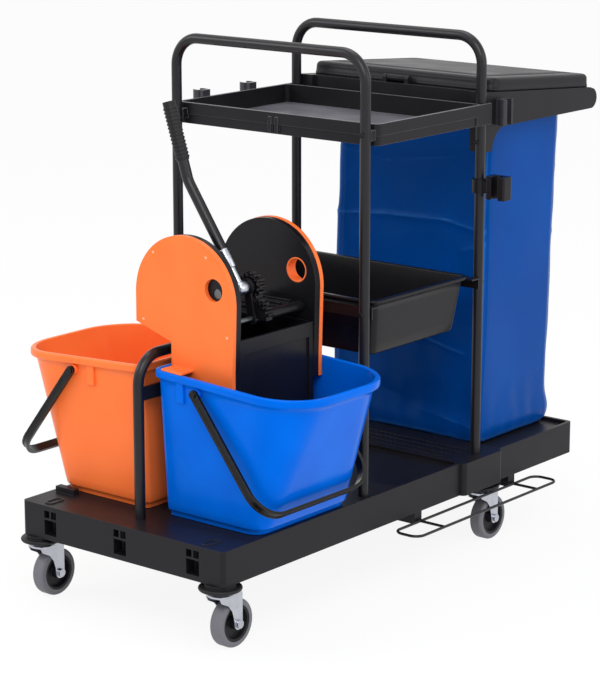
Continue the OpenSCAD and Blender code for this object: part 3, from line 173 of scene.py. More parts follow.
@dataclass(frozen=True)
class Finish:
    """A surface: colour, gloss, fine relief, slow colour drift, and any painted sheen and painted edge
    highlight.

    Attributes:
        name: what the real material is and how it was made.
        colour: sRGB hex of the plain surface.
        drift: sRGB hex that the colour wanders to in slow patches.
        roughness: mean roughness.
        rough_spread: how far roughness wanders either way.
        grain_mm: width of one grain of the fine relief, drawn coarser than a real one so that it shows.
        relief_mm: height of the fine relief.
        metallic: 1 for bare metal.
        edge_mm: radius that sharp moulded edges are rounded to in shading.
        ior: refractive index, left at the default for a metal.
        patch_mm: width of one slow patch.
        tint: sRGB hex of its reflections seen from straight on.
        edge: sRGB hex of edges, where given: a painted highlight that also stands for rubbed wear.
        painted_sheen: sRGB hex of a painted sheen on faces that look up, where given.
    """

    name: str
    colour: str
    drift: str
    roughness: float
    rough_spread: float
    grain_mm: float
    relief_mm: float
    metallic: float = 0.0
    edge_mm: float = 0.0
    ior: float = 1.5
    patch_mm: float = 90.0
    tint: str = "ffffff"
    edge: str = ""
    painted_sheen: str = ""

    def paint_sheen(self, tree: bpy.types.NodeTree, paint: bpy.types.NodeSocket,
                patches: bpy.types.NodeSocket) -> bpy.types.NodeSocket:
        """Mixes a paler colour into faces that look up: a painted sheen.

        Args:
            tree: the material's node tree.
            paint: the plain colour.
            patches: the slow patches, which thin the painted sheen out here and there.
        Returns:
            The mixed colour.
        """
        normal = add_node(tree, "ShaderNodeNewGeometry").outputs["Normal"]
        upward = add_node(tree, "ShaderNodeSeparateXYZ", links={0: normal})
        level = add_node(tree, "ShaderNodeMapRange", {"From Min": 0.95, "From Max": 1.0},
                         {"Value": upward.outputs["Z"]})
        sheen_spread = add_node(tree, "ShaderNodeMapRange",
                        {"From Min": 0.2, "From Max": 0.8, "To Min": 0.45, "To Max": 0.85},
                        {"Value": patches})
        sheen_share = add_node(tree, "ShaderNodeMath", {"operation": "MULTIPLY"},
                          {0: level.outputs["Result"], 1: sheen_spread.outputs["Result"]})
        return add_node(tree, "ShaderNodeMix", {"data_type": "RGBA", MIX_TO: linear(self.painted_sheen)},
                        {MIX_SHARE: sheen_share.outputs[0], MIX_FROM: paint}).outputs[MIX_OUT]

    def highlight_and_wear(self, tree: bpy.types.NodeTree, paint: bpy.types.NodeSocket,
               rounded: bpy.types.NodeSocket) -> bpy.types.NodeSocket:
        """Paints edges paler as highlight and wear, where the rounded normal turns away from the plain one.

        Args:
            tree: the material's node tree.
            paint: the colour so far.
            rounded: the normal of the rounded edges.
        Returns:
            The mixed colour.
        """
        normal = add_node(tree, "ShaderNodeNewGeometry").outputs["Normal"]
        turn = add_node(tree, "ShaderNodeVectorMath", {"operation": "DOT_PRODUCT"}, {0: rounded, 1: normal})
        worn_and_lit = add_node(tree, "ShaderNodeMapRange",
                        {"From Min": 0.97, "From Max": 0.78, "To Min": 0.0, "To Max": 0.7},
                        {"Value": turn.outputs["Value"]})
        return add_node(tree, "ShaderNodeMix", {"data_type": "RGBA", MIX_TO: linear(self.edge)},
                        {MIX_SHARE: worn_and_lit.outputs["Result"], MIX_FROM: paint}).outputs[MIX_OUT]

    def build(self) -> bpy.types.Material:
        """Makes the material.

        Returns:
            A node material with this finish.
        """
        material, shader, place = start_material(self.name, self.ior, self.tint)
        tree = material.node_tree
        shader.inputs["Metallic"].default_value = self.metallic
        # Slow patches: one patch is patch_mm wide in the model's metres.
        patches = add_node(tree, "ShaderNodeTexNoise",
                           {"Scale": 1 / (self.patch_mm * MM), "Detail": 1.0, "Roughness": 0.4},
                           {"Vector": place}).outputs["Fac"]
        colour = add_node(tree, "ShaderNodeValToRGB",
                          {"stops": [(0.25, linear(self.drift)), (0.75, linear(self.colour))]},
                          {"Fac": patches})
        gloss = add_node(tree, "ShaderNodeMapRange",
                         {"From Min": 0.25, "From Max": 0.75, "To Min": self.roughness - self.rough_spread,
                          "To Max": self.roughness + self.rough_spread}, {"Value": patches})
        # Fine grain: one grain is grain_mm wide.
        grain = add_node(tree, "ShaderNodeTexNoise",
                         {"Scale": 1 / (self.grain_mm * MM), "Detail": 2.0, "Roughness": 0.5},
                         {"Vector": place})
        relief = add_node(tree, "ShaderNodeBump", {"Strength": 0.5, "Distance": self.relief_mm * MM},
                          {"Height": grain.outputs["Fac"]})
        paint = colour.outputs["Color"]
        # Painted sheen: faces that look up are mixed toward a paler colour.
        if self.painted_sheen:
            paint = self.paint_sheen(tree, paint, patches)
        if self.edge_mm:
            # Moulded parts have no knife edges: each one becomes a small radius that catches the light.
            rounded = add_node(tree, "ShaderNodeBevel",
                               {"samples": 4, "Radius": self.edge_mm * MM}).outputs["Normal"]
            tree.links.new(rounded, relief.inputs["Normal"])
            # Painted highlight along the edges, which also stands for rubbed wear.
            if self.edge:
                paint = self.highlight_and_wear(tree, paint, rounded)
        tree.links.new(paint, shader.inputs["Base Color"])
        tree.links.new(gloss.outputs["Result"], shader.inputs["Roughness"])
        tree.links.new(relief.outputs["Normal"], shader.inputs["Normal"])
        return material


# Each edge colour below paints a highlight along the edges, which also stands for rubbed wear.
# Injection-moulded polypropylene, spark-eroded mould: dark and even, a soft sheen broken by fine grain.
BLACK_PLASTIC = Finish("moulded_black_polypropylene", "1a191d", "161519", roughness=0.42, rough_spread=0.05,
                       grain_mm=1.4, relief_mm=0.035, edge_mm=1.6, ior=1.29, edge="3a393e")
# Same resin from a polished mould: side frames and bins show a smoother face with a clearer highlight.
BLACK_SMOOTH = Finish("polished_black_polypropylene", "151418", "121115", roughness=0.28, rough_spread=0.03,
                      grain_mm=2.2, relief_mm=0.012, edge_mm=1.6, ior=1.30, edge="34333a")
# Same resin in the tray: painted sheen on faces that look up; a pale painted highlight, with wear, on rims.
BLACK_TRAY = Finish("black_polypropylene_painted_sheen", "18171b", "141317", roughness=0.38, rough_spread=0.04,
                    grain_mm=1.8, relief_mm=0.02, edge_mm=1.6, ior=1.29, edge="8e8d92", painted_sheen="72717a")
# Tool clips of filled nylon, lightened to charcoal as painted sheen; a clear highlight down each round lobe.
SHEEN_PAINTED_CLIP = Finish("moulded_nylon_painted_sheen", "36353b", "302f35", roughness=0.26, rough_spread=0.04,
                       grain_mm=1.8, relief_mm=0.012, edge_mm=1.2, ior=1.45, edge="6a696e")
# Powder-coated steel tube: black with a slight orange-peel and a long soft highlight.
BLACK_TUBE = Finish("powder_coated_steel_tube", "17161b", "141317", roughness=0.32, rough_spread=0.04,
                    grain_mm=2.6, relief_mm=0.03, ior=1.40)
# Satin nylon bails: the darkest parts; thin edges get a bright painted highlight that also stands for wear.
BLACK_BAIL = Finish("moulded_black_nylon", "0e0c0d", "0b0a0b", roughness=0.22, rough_spread=0.04,
                    grain_mm=1.8, relief_mm=0.01, edge_mm=1.2, ior=1.32, edge="6c686a")
# Soft rubber: near matt, a little paler where ribs and rims stand out, as painted highlight and wear.
BLACK_RUBBER = Finish("moulded_black_rubber", "18171a", "141316", roughness=0.44, rough_spread=0.05,
                      grain_mm=1.0, relief_mm=0.05, edge_mm=1.0, ior=1.34, edge="48474c")
# Pigmented polypropylene from a polished mould: saturated orange, lit faces nearly even, broad highlights.
ORANGE = Finish("moulded_orange_polypropylene", "ff7b3c", "fc7436", roughness=0.34, rough_spread=0.05,
                grain_mm=2.4, relief_mm=0.015, edge_mm=1.4, ior=1.36, edge="ff9e70", tint="ffd0b0")
# Same resin where small studs are rubbed: paler and a little duller.
ORANGE_RUBBED = Finish("rubbed_orange_polypropylene", "ffb48e", "ffab82", roughness=0.40, rough_spread=0.04,
                       grain_mm=2.4, relief_mm=0.015, ior=1.36)
# Same resin in blue: deeper, and its reflections stay blue except along the edges.
BLUE = Finish("moulded_blue_polypropylene", "0068de", "0060d4", roughness=0.20, rough_spread=0.03,
              grain_mm=2.4, relief_mm=0.012, edge_mm=1.4, ior=1.22, tint="5fb0ff", edge="2f8cff")
# Grey thermoplastic tread: plain mid grey, matt.
GREY_TREAD = Finish("moulded_grey_tread", "6c6b72", "65646b", roughness=0.55, rough_spread=0.06,
                    grain_mm=1.2, relief_mm=0.04)
# Bright zinc plate on pressed steel: pale bluish metal with fine cloudy streaks.
ZINC = Finish("zinc_plated_steel", "c6c8d0", "b4b7c0", roughness=0.30, rough_spread=0.06,
              grain_mm=3.0, relief_mm=0.01, metallic=1.0, patch_mm=22.0, edge_mm=0.6)
# Turned mild steel, not plated: a darker grey metal with a dull, slightly greenish sheen.
STEEL = Finish("turned_mild_steel", "7e8684", "70787a", roughness=0.44, rough_spread=0.05,
               grain_mm=1.2, relief_mm=0.008, metallic=1.0, patch_mm=18.0, edge_mm=0.6)


@dataclass(frozen=True)
class CoatedWeave:
    """PVC-coated polyester weave: deep blue and satin, fine weave under the coat, painted highlight on folds.

    Attributes:
        name: what the real material is and how it was made.
        colour: sRGB hex of the plain surface.
        deep: sRGB hex of its darker patches.
        tint: sRGB hex of its reflections seen from straight on.
        highlight_and_wear: sRGB hex painted on crease ridges and seams, as highlight and stretched coat.
        ior: refractive index.
        cloud_mm: width of one darker patch.
        thread_mm: thread spacing, drawn coarser than the real 0.6 mm, which is too fine to show.
        thread_relief_mm: height of the threads under the coat.
        crumple_mm: width of one soft dent left from packing.
        crumple_relief_mm: height that the dents are drawn with, before their strength.
    """

    name: str = "coated_polyester_weave"
    colour: str = "004a9f"
    deep: str = "00418f"
    tint: str = "6ab0ff"
    highlight_and_wear: str = "3f86dc"
    ior: float = 1.22
    cloud_mm: float = 210.0
    thread_mm: float = 1.6
    thread_relief_mm: float = 0.05
    crumple_mm: float = 45.0
    crumple_relief_mm: float = 0.9

    def relief(self, tree: bpy.types.NodeTree, place: bpy.types.NodeSocket) -> bpy.types.NodeSocket:
        """Threads and soft dents.

        Args:
            tree: the material's node tree.
            place: places on the piece.
        Returns:
            The socket with the normal.
        """
        # A wave of scale one turns 20 radians in a metre.
        wave_scale = 2 * math.pi / (20 * self.thread_mm * MM)
        warp, weft = (add_node(tree, "ShaderNodeTexWave",
                               {"wave_type": "BANDS", "bands_direction": direction, "Distortion": 0.4,
                                "Scale": wave_scale}, {"Vector": place}).outputs["Fac"]
                      for direction in ("X", "Z"))
        weave = add_node(tree, "ShaderNodeMath", {"operation": "MAXIMUM"}, {0: warp, 1: weft})
        threads = add_node(tree, "ShaderNodeBump",
                           {"Strength": 0.25, "Distance": self.thread_relief_mm * MM},
                           {"Height": weave.outputs[0]})
        crumple = add_node(tree, "ShaderNodeTexNoise",
                           {"Scale": 1 / (self.crumple_mm * MM), "Detail": 2.0, "Roughness": 0.45,
                            "Distortion": 0.6}, {"Vector": place})
        return add_node(tree, "ShaderNodeBump", {"Strength": 0.35, "Distance": self.crumple_relief_mm * MM},
                        {"Height": crumple.outputs["Fac"],
                         "Normal": threads.outputs["Normal"]}).outputs["Normal"]

    def build(self) -> bpy.types.Material:
        """Makes the material.

        Returns:
            A node material with this finish.
        """
        material, shader, place = start_material(self.name, self.ior, self.tint)
        tree = material.node_tree
        clouds = add_node(tree, "ShaderNodeTexNoise",
                          {"Scale": 1 / (self.cloud_mm * MM), "Detail": 1.0, "Roughness": 0.4},
                          {"Vector": place}).outputs["Fac"]
        colour = add_node(tree, "ShaderNodeValToRGB",
                          {"stops": [(0.2, linear(self.deep)), (0.8, linear(self.colour))]}, {"Fac": clouds})
        gloss = add_node(tree, "ShaderNodeMapRange",
                         {"From Min": 0.3, "From Max": 0.7, "To Min": 0.24, "To Max": 0.36},
                         {"Value": clouds})
        # Painted highlight on ridges: creases and seams are mixed paler, also standing for the stretched
        # coat.
        ridge = add_node(tree, "ShaderNodeNewGeometry").outputs["Pointiness"]
        worn_and_lit = add_node(tree, "ShaderNodeMapRange",
                        {"From Min": 0.505, "From Max": 0.56, "To Min": 0.0, "To Max": 0.7},
                        {"Value": ridge})
        paint = add_node(tree, "ShaderNodeMix", {"data_type": "RGBA", MIX_TO: linear(self.highlight_and_wear)},
                         {MIX_SHARE: worn_and_lit.outputs["Result"], MIX_FROM: colour.outputs["Color"]})
        tree.links.new(paint.outputs[MIX_OUT], shader.inputs["Base Color"])
        tree.links.new(gloss.outputs["Result"], shader.inputs["Roughness"])
        tree.links.new(self.relief(tree, place), shader.inputs["Normal"])
        return material


COATED_WEAVE = CoatedWeave()


@dataclass
class Dresser:
    """Gives each carried-over node its finish."""

    made: Dict[str, bpy.types.Material] = field(default_factory=dict)

    def material(self, finish: Union[Finish, CoatedWeave]) -> bpy.types.Material:
        """The one material of a finish, made on first use.

        Args:
            finish: what a piece is made of.
        Returns:
            Its material.
        """
        if finish.name not in self.made:
            self.made[finish.name] = finish.build()
        return self.made[finish.name]

    def dress(self, names: Iterable[str], finish: Finish) -> None:
        """Puts a finish on nodes of the frame.

        Args:
            names: node names.
            finish: what they are made of.
        """
        for name in names:
            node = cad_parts[name]
            node.data.materials.clear()
            node.data.materials.append(self.material(finish))
            LOG.info("dressed %s as %s", name, finish.name)


DRESSER = Dresser()


@dataclass(frozen=True)
class Outline:
    """A rounded rectangle at one height, in cart millimetres.

    Attributes:
        x0: low edge along the cart.
        x1: high edge along the cart.
        y0: low edge across the cart.
        y1: high edge across the cart.
        radius: corner radius.
        z: height above the floor.
        inner: corner radius at y0, where it is another one.
    """

    x0: float
    x1: float
    y0: float
    y1: float
    radius: float
    z: float
    inner: Optional[float] = None

    def grown(self, out: float, z: float) -> "Outline":
        """The outline moved outward, at another height.

        Args:
            out: how far every edge moves outward, negative for inward.
            z: the new height.
        Returns:
            The moved outline.
        """
        inner = None if self.inner is None else max(self.inner + out, 1.0)
        return Outline(self.x0 - out, self.x1 + out, self.y0 - out, self.y1 + out,
                       max(self.radius + out, 1.0), z, inner)

    def rounded(self, out: float, z: float, radius: float, start: float, end: float,
                pieces: int) -> List["Outline"]:
        """Outlines that follow a rounded edge.

        Args:
            out: how far outward the middle of the rounding lies.
            z: height of that middle.
            radius: radius of the rounding.
            start: angle at its start, in degrees; 0 looks outward and 90 looks up.
            end: angle at its end.
            pieces: pieces that it is cut into.
        Returns:
            The outlines in order.
        """
        return [self.grown(out + radius * math.cos(a), z + radius * math.sin(a))
                for a in arc_steps(start, end, pieces)]

    def ring(self, corner_steps: int, side_steps: int) -> Ring:
        """Points round the outline, the same count for every outline.

        Args:
            corner_steps: pieces in each corner arc.
            side_steps: pieces in each straight side.
        Returns:
            Points in cart millimetres, counter-clockwise from above.
        """
        room = min(self.x1 - self.x0, self.y1 - self.y0) / 2 - 0.5
        outer = min(self.radius, room)
        inner = outer if self.inner is None else min(self.inner, room)
        corners: List[List[Tuple[float, float]]] = []
        for turn, (x, y, east, north, radius) in enumerate((
                (self.x1, self.y1, 1, 1, outer), (self.x0, self.y1, -1, 1, outer),
                (self.x0, self.y0, -1, -1, inner), (self.x1, self.y0, 1, -1, inner))):
            corners.append([(x - east * radius + radius * math.cos(a),
                             y - north * radius + radius * math.sin(a))
                            for a in arc_steps(90 * turn, 90 * turn + 90, corner_steps)])
        ring: Ring = []
        for turn, arc in enumerate(corners):
            ring.extend((x, y, self.z) for x, y in arc)
            (xa, ya), (xb, yb) = arc[-1], corners[(turn + 1) % 4][0]
            ring.extend((xa + (xb - xa) * f, ya + (yb - ya) * f, self.z)
                        for f in spread(0, 1, side_steps)[1:-1])
        return ring


def skin(name: str, rings: Sequence[Ring], cap_first: bool = True, cap_last: bool = True,
         smooth: bool = True) -> bpy.types.Object:
    """Joins rings of equal count into a skin.

    Args:
        name: object name.
        rings: rings in cart millimetres.
        cap_first: closes the first ring with a face.
        cap_last: closes the last ring with a face.
        smooth: whether the side faces are shaded as one curve.
    Returns:
        The new object, linked to the scene.
    """
    mesh = bpy.data.meshes.new(name)
    count, rows = len(rings[0]), len(rings)
    points = [at(*point) for ring in rings for point in ring]
    faces: List[Tuple[int, ...]] = []
    for row in range(rows - 1):
        low, high = row * count, (row + 1) * count
        for k in range(count):
            n = (k + 1) % count
            faces.append((low + k, low + n, high + n, high + k))
    if cap_first:
        faces.append(tuple(reversed(range(count))))
    if cap_last:
        faces.append(tuple((rows - 1) * count + k for k in range(count)))
    mesh.from_pydata(points, [], faces)
    work = bmesh.new()
    work.from_mesh(mesh)
    bmesh.ops.remove_doubles(work, verts=work.verts, dist=1e-6)
    bmesh.ops.recalc_face_normals(work, faces=work.faces)
    work.to_mesh(mesh)
    work.free()
    for face in mesh.polygons:
        face.use_smooth = smooth and len(face.vertices) == 4
    item = bpy.data.objects.new(name, mesh)
    bpy.context.collection.objects.link(item)
    return item


def finish_piece(item: bpy.types.Object, finish: Union[Finish, CoatedWeave], body: Body) -> None:
    """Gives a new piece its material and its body.

    Args:
        item: the piece.
        finish: what it is made of.
        body: the rigid body that it rides on.
    """
    item.data.materials.append(DRESSER.material(finish))
    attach(item, body.value)
    LOG.info("built %s on %s", item.name, body.value)


@dataclass(frozen=True)
class Lamp:
    """A square soft box aimed at the cart's middle.

    Attributes:
        name: lamp name.
        place: lamp place in metres.
        size: side of the soft box in metres.
        power: power in watts.
        aim: place that it is aimed at, in metres.
    """

    name: str
    place: Point
    size: float
    power: float
    aim: Point = (0.0, 0.0, 0.5)

    def hang(self) -> None:
        """Adds the lamp to the scene."""
        data = bpy.data.lights.new(self.name, "AREA")
        data.shape = "SQUARE"
        data.size = self.size
        data.energy = self.power
        lamp = bpy.data.objects.new(self.name, data)
        lamp.location = self.place
        aim = Vector(self.aim) - Vector(self.place)
        lamp.rotation_euler = aim.to_track_quat("-Z", "Y").to_euler()
        bpy.context.collection.objects.link(lamp)


@dataclass
class Studio:
    """Pale floor, soft lamps, white surround and the camera.

    Attributes:
        camera_at: camera place in cart millimetres.
        azimuth: turn of the view, in degrees.
        elevation: height of the view above the horizon, in degrees.
        focal_px: focal length in pixels of the 600 by 678 frame.
        frame_px: longer side of that frame.
        sensor_mm: width of the camera's sensor.
        far: how far the camera sees, in metres.
        ambient: strength of the light from all round.
        floor_reach: half the side of the floor, in metres.
        floor_grey: how much light the floor throws back.
        floor_rough: roughness of the floor.
        floor_glow: how much of the floor's look is plain white.
        lamps: the soft boxes.
    """

    camera_at: Point = (-3362.6, -3200.6, 1709.7)
    azimuth: float = -50.881
    elevation: float = 13.522
    focal_px: float = 2424.4
    frame_px: float = 678.0
    sensor_mm: float = 36.0
    far: float = 50.0
    ambient: float = 0.72
    floor_reach: float = 30.0
    floor_grey: float = 0.95
    floor_rough: float = 0.9
    floor_glow: float = 0.9
    lamps: Tuple[Lamp, ...] = (
        Lamp("key", (-2.6, -2.2, 3.4), size=2.2, power=68.0),
        Lamp("fill", (0.6, -4.2, 2.0), size=2.6, power=34.0),
        Lamp("top", (0.3, 0.6, 4.2), size=2.4, power=44.0),
        Lamp("side", (-2.4, 2.4, 2.6), size=1.5, power=28.0))

    def camera(self) -> None:
        """Places the camera at the photograph's viewing angle."""
        data = bpy.data.cameras.new("view")
        data.sensor_width = self.sensor_mm
        data.lens = self.focal_px * self.sensor_mm / self.frame_px
        data.clip_end = self.far
        turn, rise = math.radians(self.azimuth), math.radians(self.elevation)
        back = Vector((math.sin(turn) * math.cos(rise), -math.cos(turn) * math.cos(rise), math.sin(rise)))
        right = Vector((math.cos(turn), math.sin(turn), 0.0))
        up = back.cross(right)
        pose = Matrix((right, up, back)).transposed().to_4x4()
        pose.translation = Vector(at(*self.camera_at))
        camera = bpy.data.objects.new("view", data)
        camera.matrix_world = pose
        bpy.context.collection.objects.link(camera)
        bpy.context.scene.camera = camera

    def seen(self, tree: bpy.types.NodeTree) -> bpy.types.NodeSocket:
        """One for rays that come from the camera, from gloss or through glass, and nought for light.

        Args:
            tree: the node tree that needs to know.
        Returns:
            The socket with that value.
        """
        path = add_node(tree, "ShaderNodeLightPath")
        seen = path.outputs["Is Camera Ray"]
        for ray in ("Is Glossy Ray", "Is Transmission Ray"):
            seen = add_node(tree, "ShaderNodeMath", {"operation": "MAXIMUM"},
                            {0: seen, 1: path.outputs[ray]}).outputs[0]
        return seen

    def surround(self) -> None:
        """Lights the set from all round and shows white to the camera, to gloss and through glass."""
        world = bpy.data.worlds.new("white_surround")
        bpy.context.scene.world = world
        world.use_nodes = True
        tree = world.node_tree
        soft = add_node(tree, "ShaderNodeBackground", {"Color": WHITE, "Strength": self.ambient})
        white = add_node(tree, "ShaderNodeBackground", {"Color": WHITE, "Strength": 1.0})
        mix = add_node(tree, "ShaderNodeMixShader",
                       links={0: self.seen(tree), 1: soft.outputs[0], 2: white.outputs[0]})
        tree.links.new(mix.outputs[0], tree.nodes["World Output"].inputs["Surface"])

    def floor(self) -> None:
        """Lays the pale floor: nearly white, with the cart's soft shadow kept on it."""
        reach = self.floor_reach
        mesh = bpy.data.meshes.new("floor")
        mesh.from_pydata([(-reach, -reach, 0), (reach, -reach, 0), (reach, reach, 0), (-reach, reach, 0)],
                         [], [(0, 1, 2, 3)])
        floor = bpy.data.objects.new("floor", mesh)
        bpy.context.collection.objects.link(floor)
        material = bpy.data.materials.new("painted_studio_floor")
        material.use_nodes = True
        tree = material.node_tree
        shader = tree.nodes["Principled BSDF"]
        shader.inputs["Base Color"].default_value = (self.floor_grey,) * 3 + (1.0,)
        shader.inputs["Roughness"].default_value = self.floor_rough
        glow = add_node(tree, "ShaderNodeEmission", {"Color": WHITE, "Strength": 1.0})
        white = add_node(tree, "ShaderNodeMath", {"operation": "MULTIPLY", 1: self.floor_glow},
                         {0: self.seen(tree)})
        mix = add_node(tree, "ShaderNodeMixShader",
                       links={0: white.outputs[0], 1: shader.outputs[0], 2: glow.outputs[0]})
        tree.links.new(mix.outputs[0], tree.nodes["Material Output"].inputs["Surface"])
        floor.data.materials.append(material)

    def build(self) -> None:
        """Sets up the whole studio."""
        bpy.context.scene.view_settings.view_transform = "Standard"
        self.camera()
        self.surround()
        self.floor()
        for lamp in self.lamps:
            lamp.hang()
        LOG.info("studio ready")


@dataclass
class Base:
    """Bucket platform and main deck.

    Attributes:
        parts: the carried-over mouldings.
        slot_ys: middles of the accessory slots in the front face.
        slot_half: half the width of a slot's pocket.
        slot_z: lower and upper end of a pocket.
        slot_depth: how deep the pockets go behind the front face.
        front_wall: thickness of the front face.
        gap: room between the back of the front face and a pocket's mouth.
        pocket_wall: wall thickness of a pocket.
        draft: how much narrower a pocket gets toward its back.
        bevel: depth and width of the bevel round its back.
    """

    parts: Tuple[str, ...] = ("front_platform", "main_deck", "rack_brackets")
    slot_ys: Tuple[float, ...] = (-195.0, 0.0, 195.0)
    slot_half: float = 18.0
    slot_z: Tuple[float, float] = (149.5, 204.0)
    slot_depth: float = 27.0
    front_wall: float = 5.0
    gap: float = 0.1
    pocket_wall: float = 1.5
    draft: float = 0.8
    bevel: Tuple[float, float] = (2.0, 1.7)

    def pockets(self) -> None:
        """Lines the accessory slots with closed pockets, so that they read dark."""
        back, mouth, wall = self.slot_depth, self.front_wall + self.gap, self.pocket_wall
        # From the back over the outside and round the mouth to the inside of the back.
        steps = ((back + wall, wall), (mouth, wall), (mouth, 0.0), (back - self.bevel[0], -self.draft),
                 (back, -self.draft - self.bevel[1]))
        for index, y in enumerate(self.slot_ys):
            rings: List[Ring] = []
            for x, grow in steps:
                half, low, high = self.slot_half + grow, self.slot_z[0] - grow, self.slot_z[1] + grow
                rings.append([(x, y - half, low), (x, y + half, low), (x, y + half, high),
                              (x, y - half, high)])
            pocket = skin(f"slot_pocket_{index}", rings, smooth=False)
            finish_piece(pocket, BLACK_RUBBER, Body.CART)

    def build(self) -> None:
        """Dresses the base mouldings and lines their slots."""
        DRESSER.dress(self.parts, BLACK_PLASTIC)
        self.pockets()


@dataclass
class Frames:
    """Push-bar frames, hoop, rails and rack."""

    tubes: Tuple[str, ...] = ("front_u_frame", "rear_u_frame", "divider_hoop", "divider_strap", "tote_rails",
                              "wire_rack")

    def build(self) -> None:
        """Dresses tubes and their capped bolts."""
        DRESSER.dress(self.tubes, BLACK_TUBE)
        DRESSER.dress(("frame_bolts",), BLACK_PLASTIC)


@dataclass
class Shelf:
    """Top tray and tool clips."""

    def build(self) -> None:
        """Dresses the shelf parts."""
        DRESSER.dress(("top_tray",), BLACK_TRAY)
        DRESSER.dress(("left_tool_clips", "right_tool_clip"), SHEEN_PAINTED_CLIP)
        DRESSER.dress(("leg_clip",), BLACK_SMOOTH)


@dataclass
class Tote:
    """Sliding tote: a leaning tub with soft lower corners and a rolled rim that runs on the rails.

    Attributes:
        x0: front edge of the rim.
        x1: rear edge of the rim.
        half_width: half the width over the rim.
        foot: underside.
        top: top of the rim.
        rim: stand-out of the rim.
        rim_h: depth of the rim.
        rim_r: radius of its rolled edge.
        fit: how far the rolled edge stays inside the rim's stand-out.
        lean: how far the walls lean out.
        wall: wall thickness.
        radius: corner radius of the walls.
        foot_r: radius of the lower edge.
        foot_band: width of the flat band beside it on the underside.
        lip_r: radius of the inner upper edge.
        floor_r: radius round the inner floor.
        centre: how far inside the walls the two floors are closed by one face each.
        rows: rows of faces up a wall.
        row_ends: how far these stay over the lower edge and under the rim.
    """

    x0: float = 498.0
    x1: float = 844.0
    half_width: float = 258.0
    foot: float = 498.0
    top: float = 620.0
    rim: float = 10.0
    rim_h: float = 8.0
    rim_r: float = 4.0
    fit: float = 0.1
    lean: float = 16.0
    wall: float = 3.5
    radius: float = 18.0
    foot_r: float = 7.0
    foot_band: float = 8.0
    lip_r: float = 2.5
    floor_r: float = 6.0
    centre: float = 120.0
    rows: int = 6
    row_ends: Tuple[float, float] = (2.0, 1.0)

    def wall_at(self, z: float) -> Outline:
        """Outer face of the walls at a height."""
        inset = self.rim + self.lean * (self.top - z) / (self.top - self.foot)
        return Outline(self.x0 + inset, self.x1 - inset, inset - self.half_width, self.half_width - inset,
                       self.radius, z)

    def profile(self) -> List[Outline]:
        """The tub's skin.

        Returns:
            Outlines from the middle of the underside, up the outside, over the rim and down inside.
        """
        low, edge = self.wall_at(self.foot), self.wall_at(self.top)
        steps = [low.grown(-self.centre, self.foot), low.grown(-self.foot_r - self.foot_band, self.foot)]
        steps += low.rounded(-self.foot_r, self.foot + self.foot_r, self.foot_r, -90, 0, 5)
        over_foot, under_rim = self.row_ends
        heights = spread(self.foot + self.foot_r + over_foot, self.top - self.rim_h - under_rim, self.rows)
        steps += [self.wall_at(z) for z in heights]
        rim_r, rim_out, rim_z = self.rim_r, self.rim - self.rim_r, self.top - self.rim_r
        steps += [edge.grown(rim_out + (rim_r - self.fit) * math.cos(a), rim_z + rim_r * math.sin(a))
                  for a in arc_steps(-90, 90, 8)]
        steps += edge.rounded(self.lip_r - self.wall, self.top - self.lip_r, self.lip_r, 90, 180, 4)
        steps += [self.wall_at(z).grown(-self.wall, z) for z in reversed(heights)]
        floor = self.foot + self.wall
        steps += low.rounded(-self.wall - self.floor_r, floor + self.floor_r, self.floor_r, 0, -90, 4)
        steps.append(low.grown(-self.centre, floor))
        return steps

    def build(self) -> None:
        """Builds the tote in place of the plain node."""
        tub = skin("tote_tub", [step.ring(corner_steps=9, side_steps=12) for step in self.profile()])
        finish_piece(tub, BLACK_SMOOTH, Body.TOTE)
        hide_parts("tote")


@dataclass(frozen=True)
class Crease:
    """A straight crease in the bag's sheet, placed as it lies in the front.

    Attributes:
        start: one end, across the cart and up.
        end: the other end.
        rise: how far the crease stands out, negative for a dent.
        soft: how far from the crease the sheet comes back to its plain shape.
        ends: share of the rise that is left at both ends.
    """

    start: Tuple[float, float]
    end: Tuple[float, float]
    rise: float
    soft: float
    ends: float = 0.25

    def lift(self, across: float, up: float) -> float:
        """How far the sheet stands out at a place.

        Args:
            across: place across the cart.
            up: height.
        Returns:
            Outward distance in millimetres.
        """
        run, climb = self.end[0] - self.start[0], self.end[1] - self.start[1]
        ahead, above = across - self.start[0], up - self.start[1]
        held = clamp((ahead * run + above * climb) / (run * run + climb * climb))
        gap = math.hypot(ahead - held * run, above - held * climb)
        middle = self.ends + (1 - self.ends) * math.sqrt(math.sin(math.pi * held))
        return self.rise * math.exp(-gap / self.soft) * middle


# Creases that the bag keeps from being packed flat, and those that its own weight pulls into it.
CREASES = (
    Crease((208.0, 690.0), (60.0, 702.0), 4.0, 7.0), Crease((90.0, 701.0), (-120.0, 707.0), 5.0, 7.0),
    Crease((-90.0, 708.0), (-206.0, 688.0), 4.2, 7.0), Crease((-140.0, 640.0), (-206.0, 662.0), 2.6, 8.0),
    Crease((206.0, 842.0), (50.0, 820.0), 3.2, 16.0), Crease((70.0, 822.0), (-130.0, 850.0), 3.0, 15.0),
    Crease((-30.0, 440.0), (-170.0, 410.0), 5.2, 10.0), Crease((60.0, 452.0), (-60.0, 430.0), 3.0, 12.0),
    Crease((120.0, 306.0), (10.0, 286.0), -3.4, 24.0), Crease((-40.0, 268.0), (-204.0, 244.0), 3.2, 12.0),
    Crease((180.0, 560.0), (60.0, 540.0), 2.4, 18.0))


